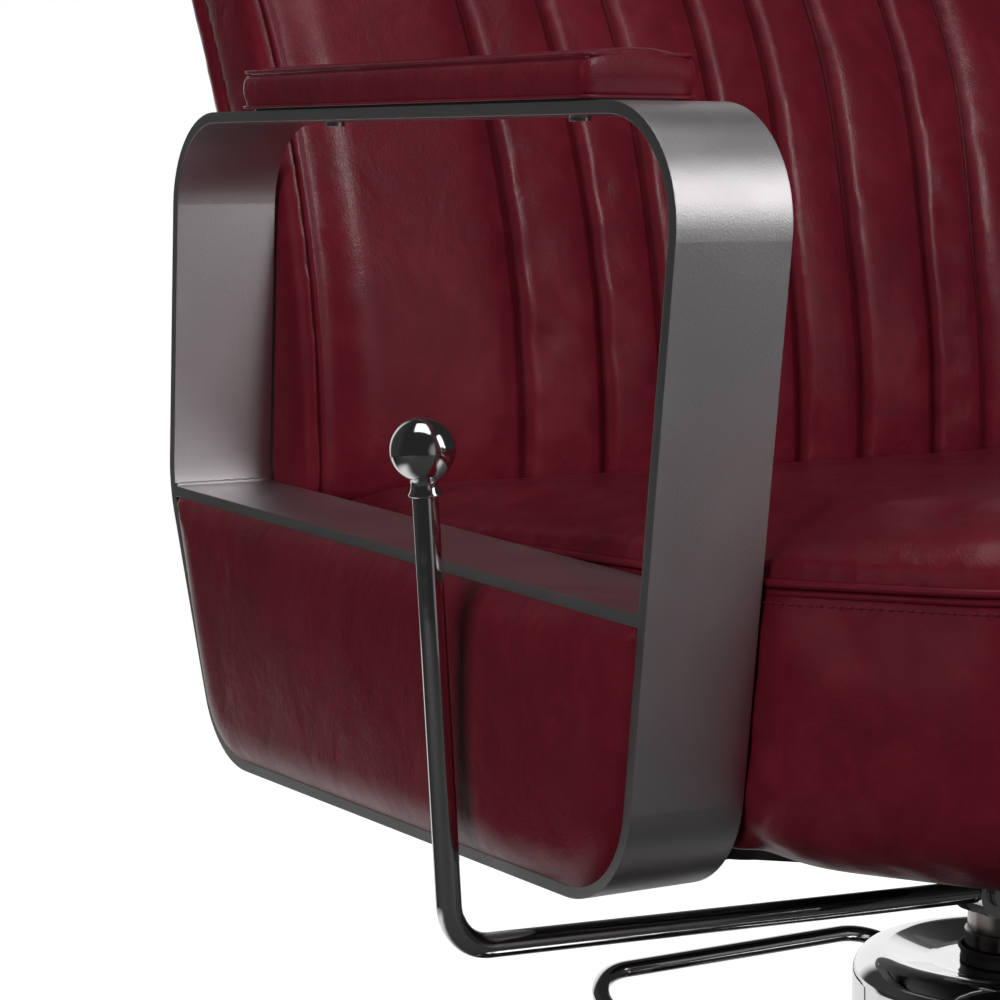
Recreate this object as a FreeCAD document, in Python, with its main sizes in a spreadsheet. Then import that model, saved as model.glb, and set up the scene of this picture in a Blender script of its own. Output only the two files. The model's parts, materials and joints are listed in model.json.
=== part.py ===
import FreeCAD, Part
import math
import os
import Sketcher

# Hydraulic barber chair in millimetres.
# +Z is up, the sitter faces -Y, and the sitter's right-hand side is -X.
# The origin is on the floor, on the axis of the lifting column.

document = FreeCAD.newDocument("BarberChair")
sheet = document.addObject("Spreadsheet::Sheet", "Sizes")
pieces = []


# Driving sizes

class Size:
    """A number that remembers the formula of sheet cells it came from."""

    def __init__(self, value, text):
        self.value = value
        self.text = text

    def __float__(self):
        return float(self.value)

    def __add__(self, other):
        other = as_size(other)
        return Size(self.value + other.value, f"({self.text} + {other.text})")

    def __sub__(self, other):
        other = as_size(other)
        return Size(self.value - other.value, f"({self.text} - {other.text})")

    def __mul__(self, other):
        other = as_size(other)
        return Size(self.value * other.value, f"({self.text} * {other.text})")

    def __truediv__(self, other):
        other = as_size(other)
        return Size(self.value / other.value, f"({self.text} / {other.text})")

    def __neg__(self):
        return Size(-self.value, f"(0 - {self.text})")

    def __radd__(self, other):
        return as_size(other) + self

    def __rsub__(self, other):
        return as_size(other) - self

    def __rmul__(self, other):
        return as_size(other) * self


def as_size(number):
    if isinstance(number, Size):
        return number
    return Size(float(number), f"({float(number)!r})")


def size(name, value, meaning):
    """Write one driving size on its own row of the sheet."""
    row = size.rows = size.rows + 1
    sheet.set(f"A{row}", name)
    sheet.set(f"B{row}", str(value))
    sheet.set(f"C{row}", meaning)
    sheet.setAlias(f"B{row}", name)
    return Size(float(value), f"Sizes.{name}")


size.rows = 0

fit = size("running_fit", 0.06, "radial clearance of a shaft that turns or slides")
gap = size("soft_gap", 0.5, "clearance between padding and what it lies against")

base_radius = size("base_radius", 310, "floor plate")
base_plate_height = size("base_plate_height", 12, "thickness of the cast floor plate")
base_skirt = size("base_skirt", 24, "height of the dish at its rim")
base_crown = size("base_crown", 46, "height of the dish at the pump")
base_hub_radius = size("base_hub_radius", 78, "raised boss that carries the pump")
sheet_wall = size("sheet_wall", 1.5, "spun sheet of the dish and the cover")

cover_radius = size("cover_radius", 85.5, "pump cover")
cover_top = size("cover_top", 250, "height of the cover's shoulder")
cover_dip = size("cover_dip", 11, "depth of the dished top at the collar")
cover_shoulder = size("cover_shoulder", 15, "radius of the cover's shoulder")
cylinder_radius = size("cylinder_radius", 40, "hydraulic cylinder")
cylinder_top = size("cylinder_top", 216, "top of the hydraulic cylinder")
cylinder_bore = size("cylinder_bore", 30, "bore of the cylinder below the gland")
gland_height = size("gland_height", 18, "gland that guides the piston")
piston_radius = size("piston_radius", 23.8, "lifting column")
piston_foot = size("piston_foot", 62, "lower end of the column at rest")
sleeve_wall = size("sleeve_wall", 1.4, "guide sleeve round the column")
sleeve_top = size("sleeve_top", 257, "top of the guide sleeve")
collar_radius = size("collar_radius", 29.5, "flared lip of the rubber collar")
collar_height = size("collar_height", 9, "height of the rubber collar")

pedal_rod_radius = size("pedal_rod_radius", 5.2, "rod of the foot loop")
pedal_half_width = size("pedal_half_width", 112, "centre line of the loop's sides")
pedal_bend = size("pedal_bend", 32, "bend radius of the loop's corners")
pedal_back = size("pedal_back", 257, "distance of the loop's bar behind the column")
pedal_height = size("pedal_height", 185, "height of the loop's bar")
pedal_pivot_y = size("pedal_pivot_y", 56, "distance of the pedal shaft behind the column")
pedal_pivot_z = size("pedal_pivot_z", 104, "height of the pedal shaft")
pedal_shaft_radius = size("pedal_shaft_radius", 7, "pedal shaft")
ear_thickness = size("ear_thickness", 10, "lugs that carry the pedal shaft")

head_radius = size("head_radius", 33, "swivel head")
head_bottom = size("head_bottom", 281, "underside of the swivel head")
head_top = size("head_top", 317, "top of the swivel head")
head_bore = size("head_bore", 24, "depth of the socket in the swivel head")
plate_width = size("plate_width", 180, "width of the mounting plate")
plate_thickness = size("plate_thickness", 6, "mounting plate")
rail_thickness = size("rail_thickness", 7, "cross rails under the seat")
rail_width = size("rail_width", 45, "cross rails under the seat")
rail_front = size("rail_front", -117, "centre line of the front rail")
rail_rear = size("rail_rear", 148.5, "centre line of the rear rail")
rail_flat = size("rail_flat", 76, "half length of the rails' flat middle")
bolt_radius = size("bolt_radius", 4, "bolts of the chassis")
bolt_head = size("bolt_head", 7.5, "corner radius of the bolt heads")
bolt_head_height = size("bolt_head_height", 5, "height of the bolt heads")
hole_clearance = size("hole_clearance", 0.4, "radial clearance of bolts and screws in their holes")
through = size("through", 80, "length of a cutter that passes right through a piece")

arm_width = size("arm_width", 58, "width of the flat band")
arm_band = size("arm_band", 5.5, "thickness of the flat band")
arm_bend = size("arm_bend", 51, "outer bend radius of the band's corners")
arm_bend_rear = size("arm_bend_rear", 70, "bend radius at the rear knee")
arm_top = size("arm_top", 694.5, "top of the arm frames")
arm_bottom = size("arm_bottom", 352.5, "bottom of the arm frames")
arm_top_front = size("arm_top_front", -230, "front corner of the top run")
arm_top_rear = size("arm_top_rear", 250, "rear corner of the top run")
arm_bottom_front = size("arm_bottom_front", -186, "front corner of the bottom run")
arm_bottom_rear = size("arm_bottom_rear", 207, "rear corner of the bottom run")
arm_knee_y = size("arm_knee_y", 262, "rear knee of the band")
arm_knee_z = size("arm_knee_z", 495, "height of the rear knee")
shelf_front_z = size("shelf_front_z", 483, "top of the shelf at the front band")
panel_recess = size("panel_recess", 4, "side panel's face behind the arm's outer face")
panel_thickness = size("panel_thickness", 33, "side panel with its padding")

rest_front = size("rest_front", -155, "front end of the arm pads")
rest_rear = size("rest_rear", 170, "rear end of the arm pads")
rest_width = size("rest_width", 60, "arm pads")
rest_thickness = size("rest_thickness", 17, "arm pads at their sides")
rest_crown = size("rest_crown", 4, "rise of the arm pads in the middle")
rest_round = size("rest_round", 100, "round of the arm pads across their tops")
rest_board = size("rest_board", 3.5, "board under an arm pad")
rest_screw_front = size("rest_screw_front", -106, "front screw of an arm pad")
rest_screw_rear = size("rest_screw_rear", 122, "rear screw of an arm pad")
screw_radius = size("screw_radius", 2.5, "pad screws")

seat_half_width = size("seat_half_width", 314, "seat between the arm frames")
seat_rear = size("seat_rear", 204, "rear of the seat upholstery")
seat_step = size("seat_step", -172, "front edge of the seat pan")
seat_side_front = size("seat_side_front", -205, "where the seat's sides start to turn in")
seat_corner_inset = size("seat_corner_inset", 52, "front corners of the seat from its sides")
seat_corner_y = size("seat_corner_y", -313, "front corners of the seat")
seat_nose_y = size("seat_nose_y", -345, "middle of the seat's front")
seam_front_z = size("seam_front_z", 495.7, "height of the seam at the middle of the front")
seam_rear_z = size("seam_rear_z", 476.5, "height of the seam plane at the rear")
belly_bottom = size("belly_bottom", 363, "underside of the padded front")
belly_under = size("belly_under", 40, "height over which the front turns under")
belly_inset = size("belly_inset", 50, "how far the front turns under")
belly_bulge = size("belly_bulge", 7, "swell of the padded front")
pan_thickness = size("pan_thickness", 6.5, "seat pan")
pan_rear = size("pan_rear", 250, "rear edge of the seat pan")
cushion_height = size("cushion_height", 37, "seat cushion above its seam, at the front")
cushion_edge = size("cushion_edge", 28, "height of the cushion's rounded edge")
cushion_inset = size("cushion_inset", 64, "reach of the cushion's rounded edge")
cushion_fall = 0.6

back_front_y = size("back_front_y", 214, "front of the back at its foot")
back_foot = size("back_foot", 467, "lower edge of the back")
back_top = size("back_top", 1070, "upper edge of the back")
back_curve_z = size("back_curve_z", 505, "where the back starts to lean")
back_curve = size("back_curve", 500, "radius of the lower curve of the back")
back_turn_z = size("back_turn_z", 757, "where the back's curve turns")
back_upper_curve = size("back_upper_curve", 1640, "radius of the upper curve of the back")
back_depth = size("back_depth", 89, "whole back from front to rear")
back_padding = size("back_padding", 50, "front padding of the back")
back_board = size("back_board", 10, "board inside the back")
channel_count = 7
channel_width = size("channel_width", 51.4, "sewn channels of the back")
channel_swell = size("channel_swell", 5, "rise of a channel between its seams")

recline_y = size("recline_y", 240, "recline pivot")
recline_z = size("recline_z", 448, "recline pivot")
recline_pin_radius = size("recline_pin_radius", 6, "recline pins")
ear_radius = size("ear_radius", 15, "eye of a recline lug")
lug_thickness = size("lug_thickness", 8, "recline lugs and brackets")

lever_x = size("lever_x", -50, "lever boss")
lever_y = size("lever_y", -42, "lever boss")
lever_z = size("lever_z", 293.5, "lever boss")
lever_turn = size("lever_turn", 4.7, "angle of the lever's plane to the chair's width")
lever_rise = size("lever_rise", 21.5, "lever's bend above its pivot")
knob_height = size("knob_height", 249.5, "lever's knob above its pivot")
lever_radius = size("lever_radius", 6, "lever rod")
lever_bend = size("lever_bend", 24, "bend radius of the lever rod")
knob_radius = size("knob_radius", 14.8, "lever's ball knob")
boss_radius = size("boss_radius", 14, "lever boss")
boss_length = size("boss_length", 16, "lever boss")
lever_pin_radius = size("lever_pin_radius", 5, "lever pin")

socket_width = size("socket_width", 110, "headrest socket")
socket_depth = size("socket_depth", 24, "headrest socket")
socket_length = size("socket_length", 95, "headrest socket")
socket_lean = size("socket_lean", 18, "lean of the headrest posts")
pocket_rise = size("pocket_rise", 60, "how far the socket's pocket runs out above the back")
post_radius = size("post_radius", 5, "headrest posts")
post_half_span = size("post_half_span", 36, "headrest posts")
post_length = size("post_length", 185, "headrest posts")
post_above = size("post_above", 98, "crossbar above the top of the back")
clamp_reach = size("clamp_reach", 20, "headrest board in front of the crossbar")
head_pad_width = size("head_pad_width", 270, "headrest pad")
head_pad_height = size("head_pad_height", 130, "headrest pad")
head_pad_depth = size("head_pad_depth", 62, "headrest pad")

foot_pivot_y = size("foot_pivot_y", -150, "footrest pivot")
foot_pivot_z = size("foot_pivot_z", 302, "footrest pivot")
foot_bracket_x = size("foot_bracket_x", 80, "footrest brackets")
foot_leg_x = size("foot_leg_x", 90, "footrest legs")
foot_leg_width = size("foot_leg_width", 26, "footrest legs, seen from the side")
foot_leg_thickness = size("foot_leg_thickness", 8, "footrest legs")
foot_reach = size("foot_reach", 285, "tread hinge in front of the pivot")
foot_drop = size("foot_drop", 168, "tread hinge below the pivot")
tread_depth = size("tread_depth", 128, "foot tread")
tread_width = size("tread_width", 330, "foot tread")
tread_thickness = size("tread_thickness", 8, "foot tread")
tread_tilt = size("tread_tilt", 20, "slope of the foot tread")
foot_pin_radius = size("foot_pin_radius", 6, "footrest pins")

# What keeps its place beside the seat follows the seat's width.
side_gap = size("side_gap", 3, "seat to arm frame")
arm_inside = seat_half_width + side_gap
arm_outside = arm_inside + arm_width
rail_end = arm_inside + 17
rail_shoulder = arm_inside - 32
seat_corner_x = seat_half_width - seat_corner_inset
pan_half_width = seat_half_width - 6
back_half_width = seat_half_width + 1
ear_x = back_half_width - 41
lever_reach = arm_outside - 33
knob_reach = arm_outside - 18

document.recompute()


# Geometry shared by every piece

def vector(x, y, z=0.0):
    return FreeCAD.Vector(float(x), float(y), float(z))


def rounded(corners, closed=True):
    """Points where each corner's round starts and ends, with its centre."""
    points = [vector(corner[0], corner[1]) for corner in corners]
    count = len(points)
    rounds = []
    for index, corner in enumerate(corners):
        radius = float(corner[2]) if len(corner) > 2 else 0.0
        point = points[index]
        end = not closed and index in (0, count - 1)
        if radius == 0.0 or end:
            rounds.append((point, point, None))
            continue
        back = (points[index - 1] - point).normalize()
        ahead = (points[(index + 1) % count] - point).normalize()
        half = math.acos(max(-1.0, min(1.0, back * ahead))) / 2
        reach = radius / math.tan(half)
        middle = (back + ahead).normalize()
        centre = point + middle * (radius / math.sin(half))
        rounds.append((point + back * reach, point + ahead * reach, centre))
    return rounds


def rounded_wire(corners, to_space):
    """Closed wire of lines and arcs; to_space turns a flat point into a placed one."""
    rounds = rounded(corners)
    edges = []
    for index, (start, end, centre) in enumerate(rounds):
        if centre is not None:
            outward = (start + end) * 0.5 - centre
            outward.normalize()
            middle = centre + outward * (start - centre).Length
            edges.append(Part.Arc(to_space(start), to_space(middle), to_space(end)).toShape())
        following = rounds[(index + 1) % len(rounds)][0]
        edges.append(Part.LineSegment(to_space(end), to_space(following)).toShape())
    return Part.Wire(edges)


def bind(thing, name, value):
    if isinstance(value, Size):
        thing.setExpression(name, value.text)
    else:
        setattr(thing, name, value)


def draw(sketch, corners, closed=True):
    """Draw an outline with rounded corners, every corner held by the sheet."""
    rounds = rounded(corners, closed)
    count = len(corners)
    sides = []
    for index in range(count if closed else count - 1):
        line = Part.LineSegment(rounds[index][1], rounds[(index + 1) % count][0])
        sides.append(sketch.addGeometry(line, False))
    for index, corner in enumerate(corners):
        before = sides[index - 1] if closed or index > 0 else None
        after = sides[index] if index < len(sides) else None
        start, end, centre = rounds[index]
        if centre is None:
            if before is not None and after is not None:
                sketch.addConstraint(Sketcher.Constraint("Coincident", before, 2, after, 1))
            held = (after, 1) if after is not None else (before, 2)
            hold(sketch, "DistanceX", held, corner[0])
            hold(sketch, "DistanceY", held, corner[1])
            continue
        radius = (start - centre).Length
        first = math.atan2(start.y - centre.y, start.x - centre.x)
        last = math.atan2(end.y - centre.y, end.x - centre.x)
        leftwards = (start - centre).cross(end - centre).z > 0
        angles = (first, last) if leftwards else (last, first)
        circle = Part.Circle(centre, vector(0, 0, 1), radius)
        arc = sketch.addGeometry(Part.ArcOfCircle(circle, *angles), False)
        near, far = (1, 2) if leftwards else (2, 1)
        sketch.addConstraint(Sketcher.Constraint("Tangent", before, 2, arc, near))
        sketch.addConstraint(Sketcher.Constraint("Tangent", after, 1, arc, far))
        hold(sketch, "Radius", (arc,), corner[2])
        apex = sketch.addGeometry(Part.Point(vector(corner[0], corner[1])), True)
        hold(sketch, "DistanceX", (apex, 1), corner[0])
        hold(sketch, "DistanceY", (apex, 1), corner[1])
        sketch.addConstraint(Sketcher.Constraint("PointOnObject", apex, 1, before))
        sketch.addConstraint(Sketcher.Constraint("PointOnObject", apex, 1, after))


def hold(sketch, kind, where, value):
    """Add one driving dimension and tie it to the sheet."""
    if kind == "Radius":
        constraint = Sketcher.Constraint(kind, where[0], float(value))
    else:
        constraint = Sketcher.Constraint(kind, -1, 1, where[0], where[1], float(value))
    index = sketch.addConstraint(constraint)
    if isinstance(value, Size):
        sketch.setExpression(f"Constraints[{index}]", value.text)


def origin_plane(body, role):
    return [plane for plane in body.Origin.OriginFeatures if plane.Role == role][0]


def new_sketch(body, name, role):
    sketch = body.newObject("Sketcher::SketchObject", name)
    sketch.AttachmentSupport = [(origin_plane(body, role), "")]
    sketch.MapMode = "FlatFace"
    return sketch


def keep(thing, label):
    """Give a finished piece its name and list it for writing."""
    thing.Label = label
    pieces.append(thing)
    return thing


def put(thing, x=0.0, y=0.0, z=0.0, rotation=None):
    """Place a piece; each coordinate stays tied to the sheet."""
    turn = rotation if rotation is not None else FreeCAD.Rotation()
    thing.Placement = FreeCAD.Placement(vector(x, y, z), turn)
    for name, value in (("x", x), ("y", y), ("z", z)):
        if isinstance(value, Size):
            thing.setExpression(f"Placement.Base.{name}", value.text)
    return thing


def block(width, depth, height):
    box = document.addObject("Part::Box", "block")
    bind(box, "Length", as_size(width))
    bind(box, "Width", as_size(depth))
    bind(box, "Height", as_size(height))
    return box


ALONG_X = FreeCAD.Rotation(FreeCAD.Vector(0, 1, 0), 90)
ALONG_Y = FreeCAD.Rotation(FreeCAD.Vector(1, 0, 0), -90)


def cylinder(radius, height):
    drum = document.addObject("Part::Cylinder", "drum")
    bind(drum, "Radius", as_size(radius))
    bind(drum, "Height", as_size(height))
    return drum


def turned(name, corners):
    """Body turned about Z from an outline of (radius, height) corners."""
    body = document.addObject("PartDesign::Body", name)
    sketch = new_sketch(body, name + "_section", "XZ_Plane")
    draw(sketch, corners)
    turn = body.newObject("PartDesign::Revolution", name + "_turn")
    turn.Profile = sketch
    turn.ReferenceAxis = (sketch, ["V_Axis"])
    turn.Angle = 360.0
    return body


def slab(name, role, corners, thickness, centred=True):
    """Body padded from an outline on one of its own planes."""
    body = document.addObject("PartDesign::Body", name)
    sketch = new_sketch(body, name + "_outline", role)
    draw(sketch, corners)
    pad = body.newObject("PartDesign::Pad", name + "_pad")
    pad.Profile = sketch
    pad.SideType = "Symmetric" if centred else "One side"
    bind(pad, "Length", as_size(thickness))
    return body


def softened(body, radius, wanted):
    """Round the edges of a body that the test picks."""
    document.recompute()
    base = body.Tip
    names = [f"Edge{number}" for number, edge in enumerate(base.Shape.Edges, 1) if wanted(edge)]
    fillet = body.newObject("PartDesign::Fillet", body.Name + "_round")
    fillet.Base = (base, names)
    bind(fillet, "Radius", as_size(radius))
    return body


def rod(name, path, radius):
    """Round rod along a path in the XZ plane that starts along X."""
    body = document.addObject("PartDesign::Body", name)
    route = new_sketch(body, name + "_route", "XZ_Plane")
    draw(route, path, closed=False)
    section = new_sketch(body, name + "_section", "YZ_Plane")
    start = as_size(path[0][0])
    section.AttachmentOffset = FreeCAD.Placement(vector(0, 0, start), FreeCAD.Rotation())
    section.setExpression("AttachmentOffset.Base.z", start.text)
    centre = vector(0, path[0][1])
    ring = section.addGeometry(Part.Circle(centre, vector(0, 0, 1), float(radius)), False)
    hold(section, "DistanceX", (ring, 3), as_size(0))
    hold(section, "DistanceY", (ring, 3), as_size(path[0][1]))
    hold(section, "Radius", (ring,), as_size(radius))
    document.recompute()
    pipe = body.newObject("PartDesign::AdditivePipe", name + "_pipe")
    pipe.Profile = section
    sides = [f"Edge{number}" for number in range(1, len(route.Shape.Edges) + 1)]
    pipe.Spine = (route, sides)
    return body


def cut(base, *tools):
    if len(tools) > 1:
        tool = joined(*tools)
    else:
        tool = tools[0]
    result = document.addObject("Part::Cut", "cut")
    result.Base = base
    result.Tool = tool
    return result


def joined(*shapes):
    result = document.addObject("Part::MultiFuse", "joined")
    result.Shapes = list(shapes)
    return result


def common(first, second):
    result = document.addObject("Part::MultiCommon", "common")
    result.Shapes = [first, second]
    return result


def group(shapes):
    """Loose solids of one kind that share a node."""
    result = document.addObject("Part::Compound", "group")
    result.Links = list(shapes)
    return result


def mirrored(source):
    """The same piece for the sitter's left-hand side."""
    result = document.addObject("Part::Mirroring", "mirrored")
    result.Source = source
    result.Normal = FreeCAD.Vector(1, 0, 0)
    return result


def pair(thing, label):
    """Keep a right-hand piece and its mirror image."""
    keep(thing, label + "_right")
    return keep(mirrored(thing), label + "_left")


def loft(sections):
    """Smooth closed form through flat sections."""
    result = document.addObject("Part::Feature", "form")
    result.Shape = Part.makeLoft(sections, True, False)
    return result


def hexagon(radius, height):
    nut = document.addObject("Part::Prism", "hexagon")
    nut.Polygon = 6
    bind(nut, "Circumradius", as_size(radius))
    bind(nut, "Height", as_size(height))
    return nut


def interpolate(start, end, share):
    return start + (end - start) * share


# Base: cast floor plate, spun dish, rubber floor ring

rim = base_radius - 5
keep(turned("base_plate", [
    (0, 0),
    (rim, 0),
    (rim, base_plate_height - 4, 3),
    (rim - 8, base_plate_height, 3),
    (base_hub_radius + 12, base_plate_height, 6),
    (base_hub_radius, base_crown - sheet_wall - 4, 4),
    (0, base_crown - sheet_wall - 4),
]), "base_plate")

keep(turned("floor_ring", [
    (rim + 0.3, 0),
    (base_radius + 1, 0, 1),
    (base_radius + 1, 5, 1.5),
    (rim + 0.3, 5),
]), "floor_ring")

# The dish rises from an upright rim through a round edge to a shallow cone.
dish_shoulder = base_radius - 26
keep(turned("base_dish", [
    (base_radius, 5.3),
    (base_radius, base_skirt, 16),
    (dish_shoulder, base_skirt + 5, 60),
    (cover_radius + 20, base_crown - 2, 20),
    (cover_radius + 4, base_crown + 3),
    (cover_radius + 4, base_crown + 3 - sheet_wall),
    (cover_radius + 20, base_crown - 2 - sheet_wall, 20),
    (dish_shoulder - 1, base_skirt + 5 - sheet_wall, 60),
    (base_radius - sheet_wall, base_skirt - 1, 14),
    (base_radius - sheet_wall, 5.3),
]), "base_dish")


# Hydraulic pump under its cover

hub_top = base_crown - sheet_wall - 4
bore = piston_radius + fit
cylinder_body = turned("cylinder_body", [
    (0, hub_top),
    (cylinder_radius + 22, hub_top),
    (cylinder_radius + 22, hub_top + 10, 2),
    (cylinder_radius, hub_top + 10, 5),
    (cylinder_radius, cylinder_top, 3),
    (bore, cylinder_top),
    (bore, cylinder_top - gland_height),
    (cylinder_bore, cylinder_top - gland_height - 4),
    (cylinder_bore, hub_top + 6),
    (0, hub_top + 6),
])
lugs = []
for side in (-1, 1):
    lug = slab("pedal_lug", "YZ_Plane", [
        (cylinder_bore + 5, pedal_pivot_z - 22, 4),
        (pedal_pivot_y + 4, pedal_pivot_z - 18, 8),
        (pedal_pivot_y + 14, pedal_pivot_z, 12),
        (pedal_pivot_y + 4, pedal_pivot_z + 18, 8),
        (cylinder_bore + 5, pedal_pivot_z + 30, 4),
    ], ear_thickness)
    lugs.append(put(lug, x=side * (ear_thickness / 2 + 4)))
shaft_bore = put(cylinder(pedal_shaft_radius + fit, through), x=-through / 2, y=pedal_pivot_y,
                 z=pedal_pivot_z, rotation=ALONG_X)
keep(cut(joined(cylinder_body, *lugs), shaft_bore), "pump_body")

bolt_circle = cylinder_radius + 13
flange_bolts = []
for step in range(4):
    angle = math.radians(45 + 90 * step)
    flange_bolts.append(put(hexagon(7, 6), x=bolt_circle * math.cos(angle),
                            y=bolt_circle * math.sin(angle), z=hub_top + 10))
keep(group(flange_bolts), "pump_bolts")

# The cover is one spun sheet: an upright wall, a round shoulder and a dished top.
collar_seat = cover_top - cover_dip
sleeve_radius = bore + sleeve_wall
cover_shell = turned("cover_shell", [
    (cover_radius, base_crown - 1),
    (cover_radius, cover_top, cover_shoulder),
    (cover_radius - 44, collar_seat, 30),
    (sleeve_radius + 0.3, collar_seat),
    (sleeve_radius + 0.3, collar_seat - sheet_wall),
    (cover_radius - 44, collar_seat - sheet_wall, 30),
    (cover_radius - sheet_wall, cover_top - sheet_wall, cover_shoulder - sheet_wall),
    (cover_radius - sheet_wall, base_crown - 1),
])
shaft_slot = put(cylinder(pedal_shaft_radius + 3, 2 * cover_radius + 20),
                 x=-cover_radius - 10, y=pedal_pivot_y, z=pedal_pivot_z, rotation=ALONG_X)
keep(cut(cover_shell, shaft_slot), "pump_cover")

keep(turned("guide_sleeve", [
    (bore, cylinder_top + 0.5),
    (sleeve_radius, cylinder_top + 0.5),
    (sleeve_radius, sleeve_top, 0.6),
    (bore, sleeve_top),
]), "guide_sleeve")

collar_top = collar_seat + collar_height
keep(turned("column_collar", [
    (sleeve_radius + 0.1, collar_seat + 0.2),
    (sleeve_radius + 2.6, collar_seat + 0.2, 1),
    (sleeve_radius + 1.8, collar_top - 4, 4),
    (collar_radius, collar_top, 0.8),
    (collar_radius - 2.4, collar_top, 0.8),
    (sleeve_radius + 0.1, collar_top - 5, 1),
]), "column_collar")


# Foot loop: one bent rod on both ends of a cross shaft

rise = float(pedal_height - pedal_pivot_z)
run = float(pedal_back - pedal_pivot_y)
loop_length = math.hypot(rise, run)
slope = math.atan2(rise, run)
leg_start = pedal_shaft_radius - 1
loop_reach = as_size(loop_length)
loop_rod = rod("pedal_loop_rod", [
    (leg_start, -pedal_half_width),
    (loop_reach, -pedal_half_width, pedal_bend),
    (loop_reach, pedal_half_width, pedal_bend),
    (leg_start, pedal_half_width),
], pedal_rod_radius)
back_and_up = FreeCAD.Vector(0, math.cos(slope), math.sin(slope))
square_to_loop = FreeCAD.Vector(0, -math.sin(slope), math.cos(slope))
loop_turn = FreeCAD.Rotation(back_and_up, square_to_loop, FreeCAD.Vector(1, 0, 0), "XZY")
put(loop_rod, y=pedal_pivot_y, z=pedal_pivot_z, rotation=loop_turn)
shaft_half = pedal_half_width + pedal_rod_radius + 4
shaft = put(cylinder(pedal_shaft_radius, 2 * shaft_half), x=-shaft_half,
            y=pedal_pivot_y, z=pedal_pivot_z, rotation=ALONG_X)
keep(cut(loop_rod, shaft), "pedal_loop")
keep(shaft, "pedal_shaft")


# Lifting column

keep(turned("piston", [
    (0, piston_foot),
    (piston_radius, piston_foot, 2),
    (piston_radius, head_bottom + head_bore - 0.5, 1.5),
    (0, head_bottom + head_bore - 0.5),
]), "piston")

keep(turned("thrust_washer", [
    (bore, head_bottom - 3),
    (head_radius - 3, head_bottom - 3, 0.8),
    (head_radius - 3, head_bottom - 0.2, 0.8),
    (bore, head_bottom - 0.2),
]), "thrust_washer")


# Chassis: swivel head, mounting plate, bent cross rails, seat pan

keep(turned("swivel_head", [
    (bore, head_bottom),
    (head_radius, head_bottom, 2),
    (head_radius, head_top - 16, 14),
    (head_radius + 18, head_top - 6, 5),
    (head_radius + 18, head_top),
    (0, head_top),
    (0, head_bottom + head_bore),
    (bore, head_bottom + head_bore),
]), "swivel_head")

half_plate = plate_width / 2
rail_low = head_top + plate_thickness
rail_high = arm_bottom + arm_band
plate_front = rail_front - rail_width / 2
plate_rear = rail_rear + rail_width / 2
plate = slab("plate", "XY_Plane", [
    (-half_plate, plate_front, 8),
    (half_plate, plate_front, 8),
    (half_plate, plate_rear, 8),
    (-half_plate, plate_rear, 8),
], plate_thickness, centred=False)
put(plate, z=head_top)

plate_bolt_x = rail_flat - 20
bolt_hole = bolt_radius + hole_clearance
plate_bolts = []
plate_holes = []
for centre in (rail_front, rail_rear):
    for side in (-1, 1):
        shank = put(cylinder(bolt_radius, plate_thickness + rail_thickness + 1),
                    x=side * plate_bolt_x, y=centre, z=head_top - 1)
        head = put(hexagon(bolt_head, bolt_head_height), x=side * plate_bolt_x, y=centre,
                   z=rail_low + rail_thickness)
        plate_bolts.append(joined(shank, head))
        plate_holes.append(put(cylinder(bolt_hole, through), x=side * plate_bolt_x, y=centre,
                               z=head_top - through / 2))
keep(cut(plate, *plate_holes), "mounting_plate")
keep(group(plate_bolts), "plate_bolts")

arm_bolt_x = arm_inside + 9


def cross_rail(name, centre):
    """Flat bar with level ends on the arm frames and a lower level middle."""
    lower = [(-rail_end, rail_high), (-rail_shoulder, rail_high, 30),
             (-rail_flat, rail_low, 30), (rail_flat, rail_low, 30),
             (rail_shoulder, rail_high, 30), (rail_end, rail_high)]
    upper = [(corner[0], corner[1] + rail_thickness) + corner[2:] for corner in reversed(lower)]
    bar = slab(name + "_bar", "XZ_Plane", lower + upper, rail_width)
    put(bar, y=centre)
    holes = []
    for side in (-1, 1):
        for distance, height in ((arm_bolt_x, rail_high), (plate_bolt_x, rail_low)):
            holes.append(put(cylinder(bolt_hole, through), x=side * distance, y=centre,
                             z=height - through / 2))
    return keep(cut(bar, *holes), name)


cross_rail("cross_rail_front", rail_front)
cross_rail("cross_rail_rear", rail_rear)

pan_bottom = rail_high + rail_thickness
pan_top = pan_bottom + pan_thickness
pan = slab("pan", "XY_Plane", [
    (-pan_half_width, seat_step, 20),
    (pan_half_width, seat_step, 20),
    (pan_half_width, pan_rear, 20),
    (-pan_half_width, pan_rear, 20),
], pan_thickness, centred=False)
keep(put(pan, z=pan_bottom), "seat_pan")


# Arm frames: a flat band bent into a closed loop, with a shelf across it

ACROSS = FreeCAD.Rotation(FreeCAD.Vector(1, 1, 1), 120)


def prism(profile, length):
    """Solid pushed out of a closed upright outline, across the chair."""
    result = document.addObject("Part::Extrusion", "prism")
    result.Base = profile
    result.DirMode = "Custom"
    result.Dir = FreeCAD.Vector(1, 0, 0)
    result.Solid = True
    bind(result, "LengthFwd", as_size(length))
    return result


def side_line(top, bottom, height):
    """Y of a straight run of the band at a height between its two corners."""
    share = (height - arm_bottom) / (top[1] - arm_bottom)
    return bottom + (top[0] - bottom) * share


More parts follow.
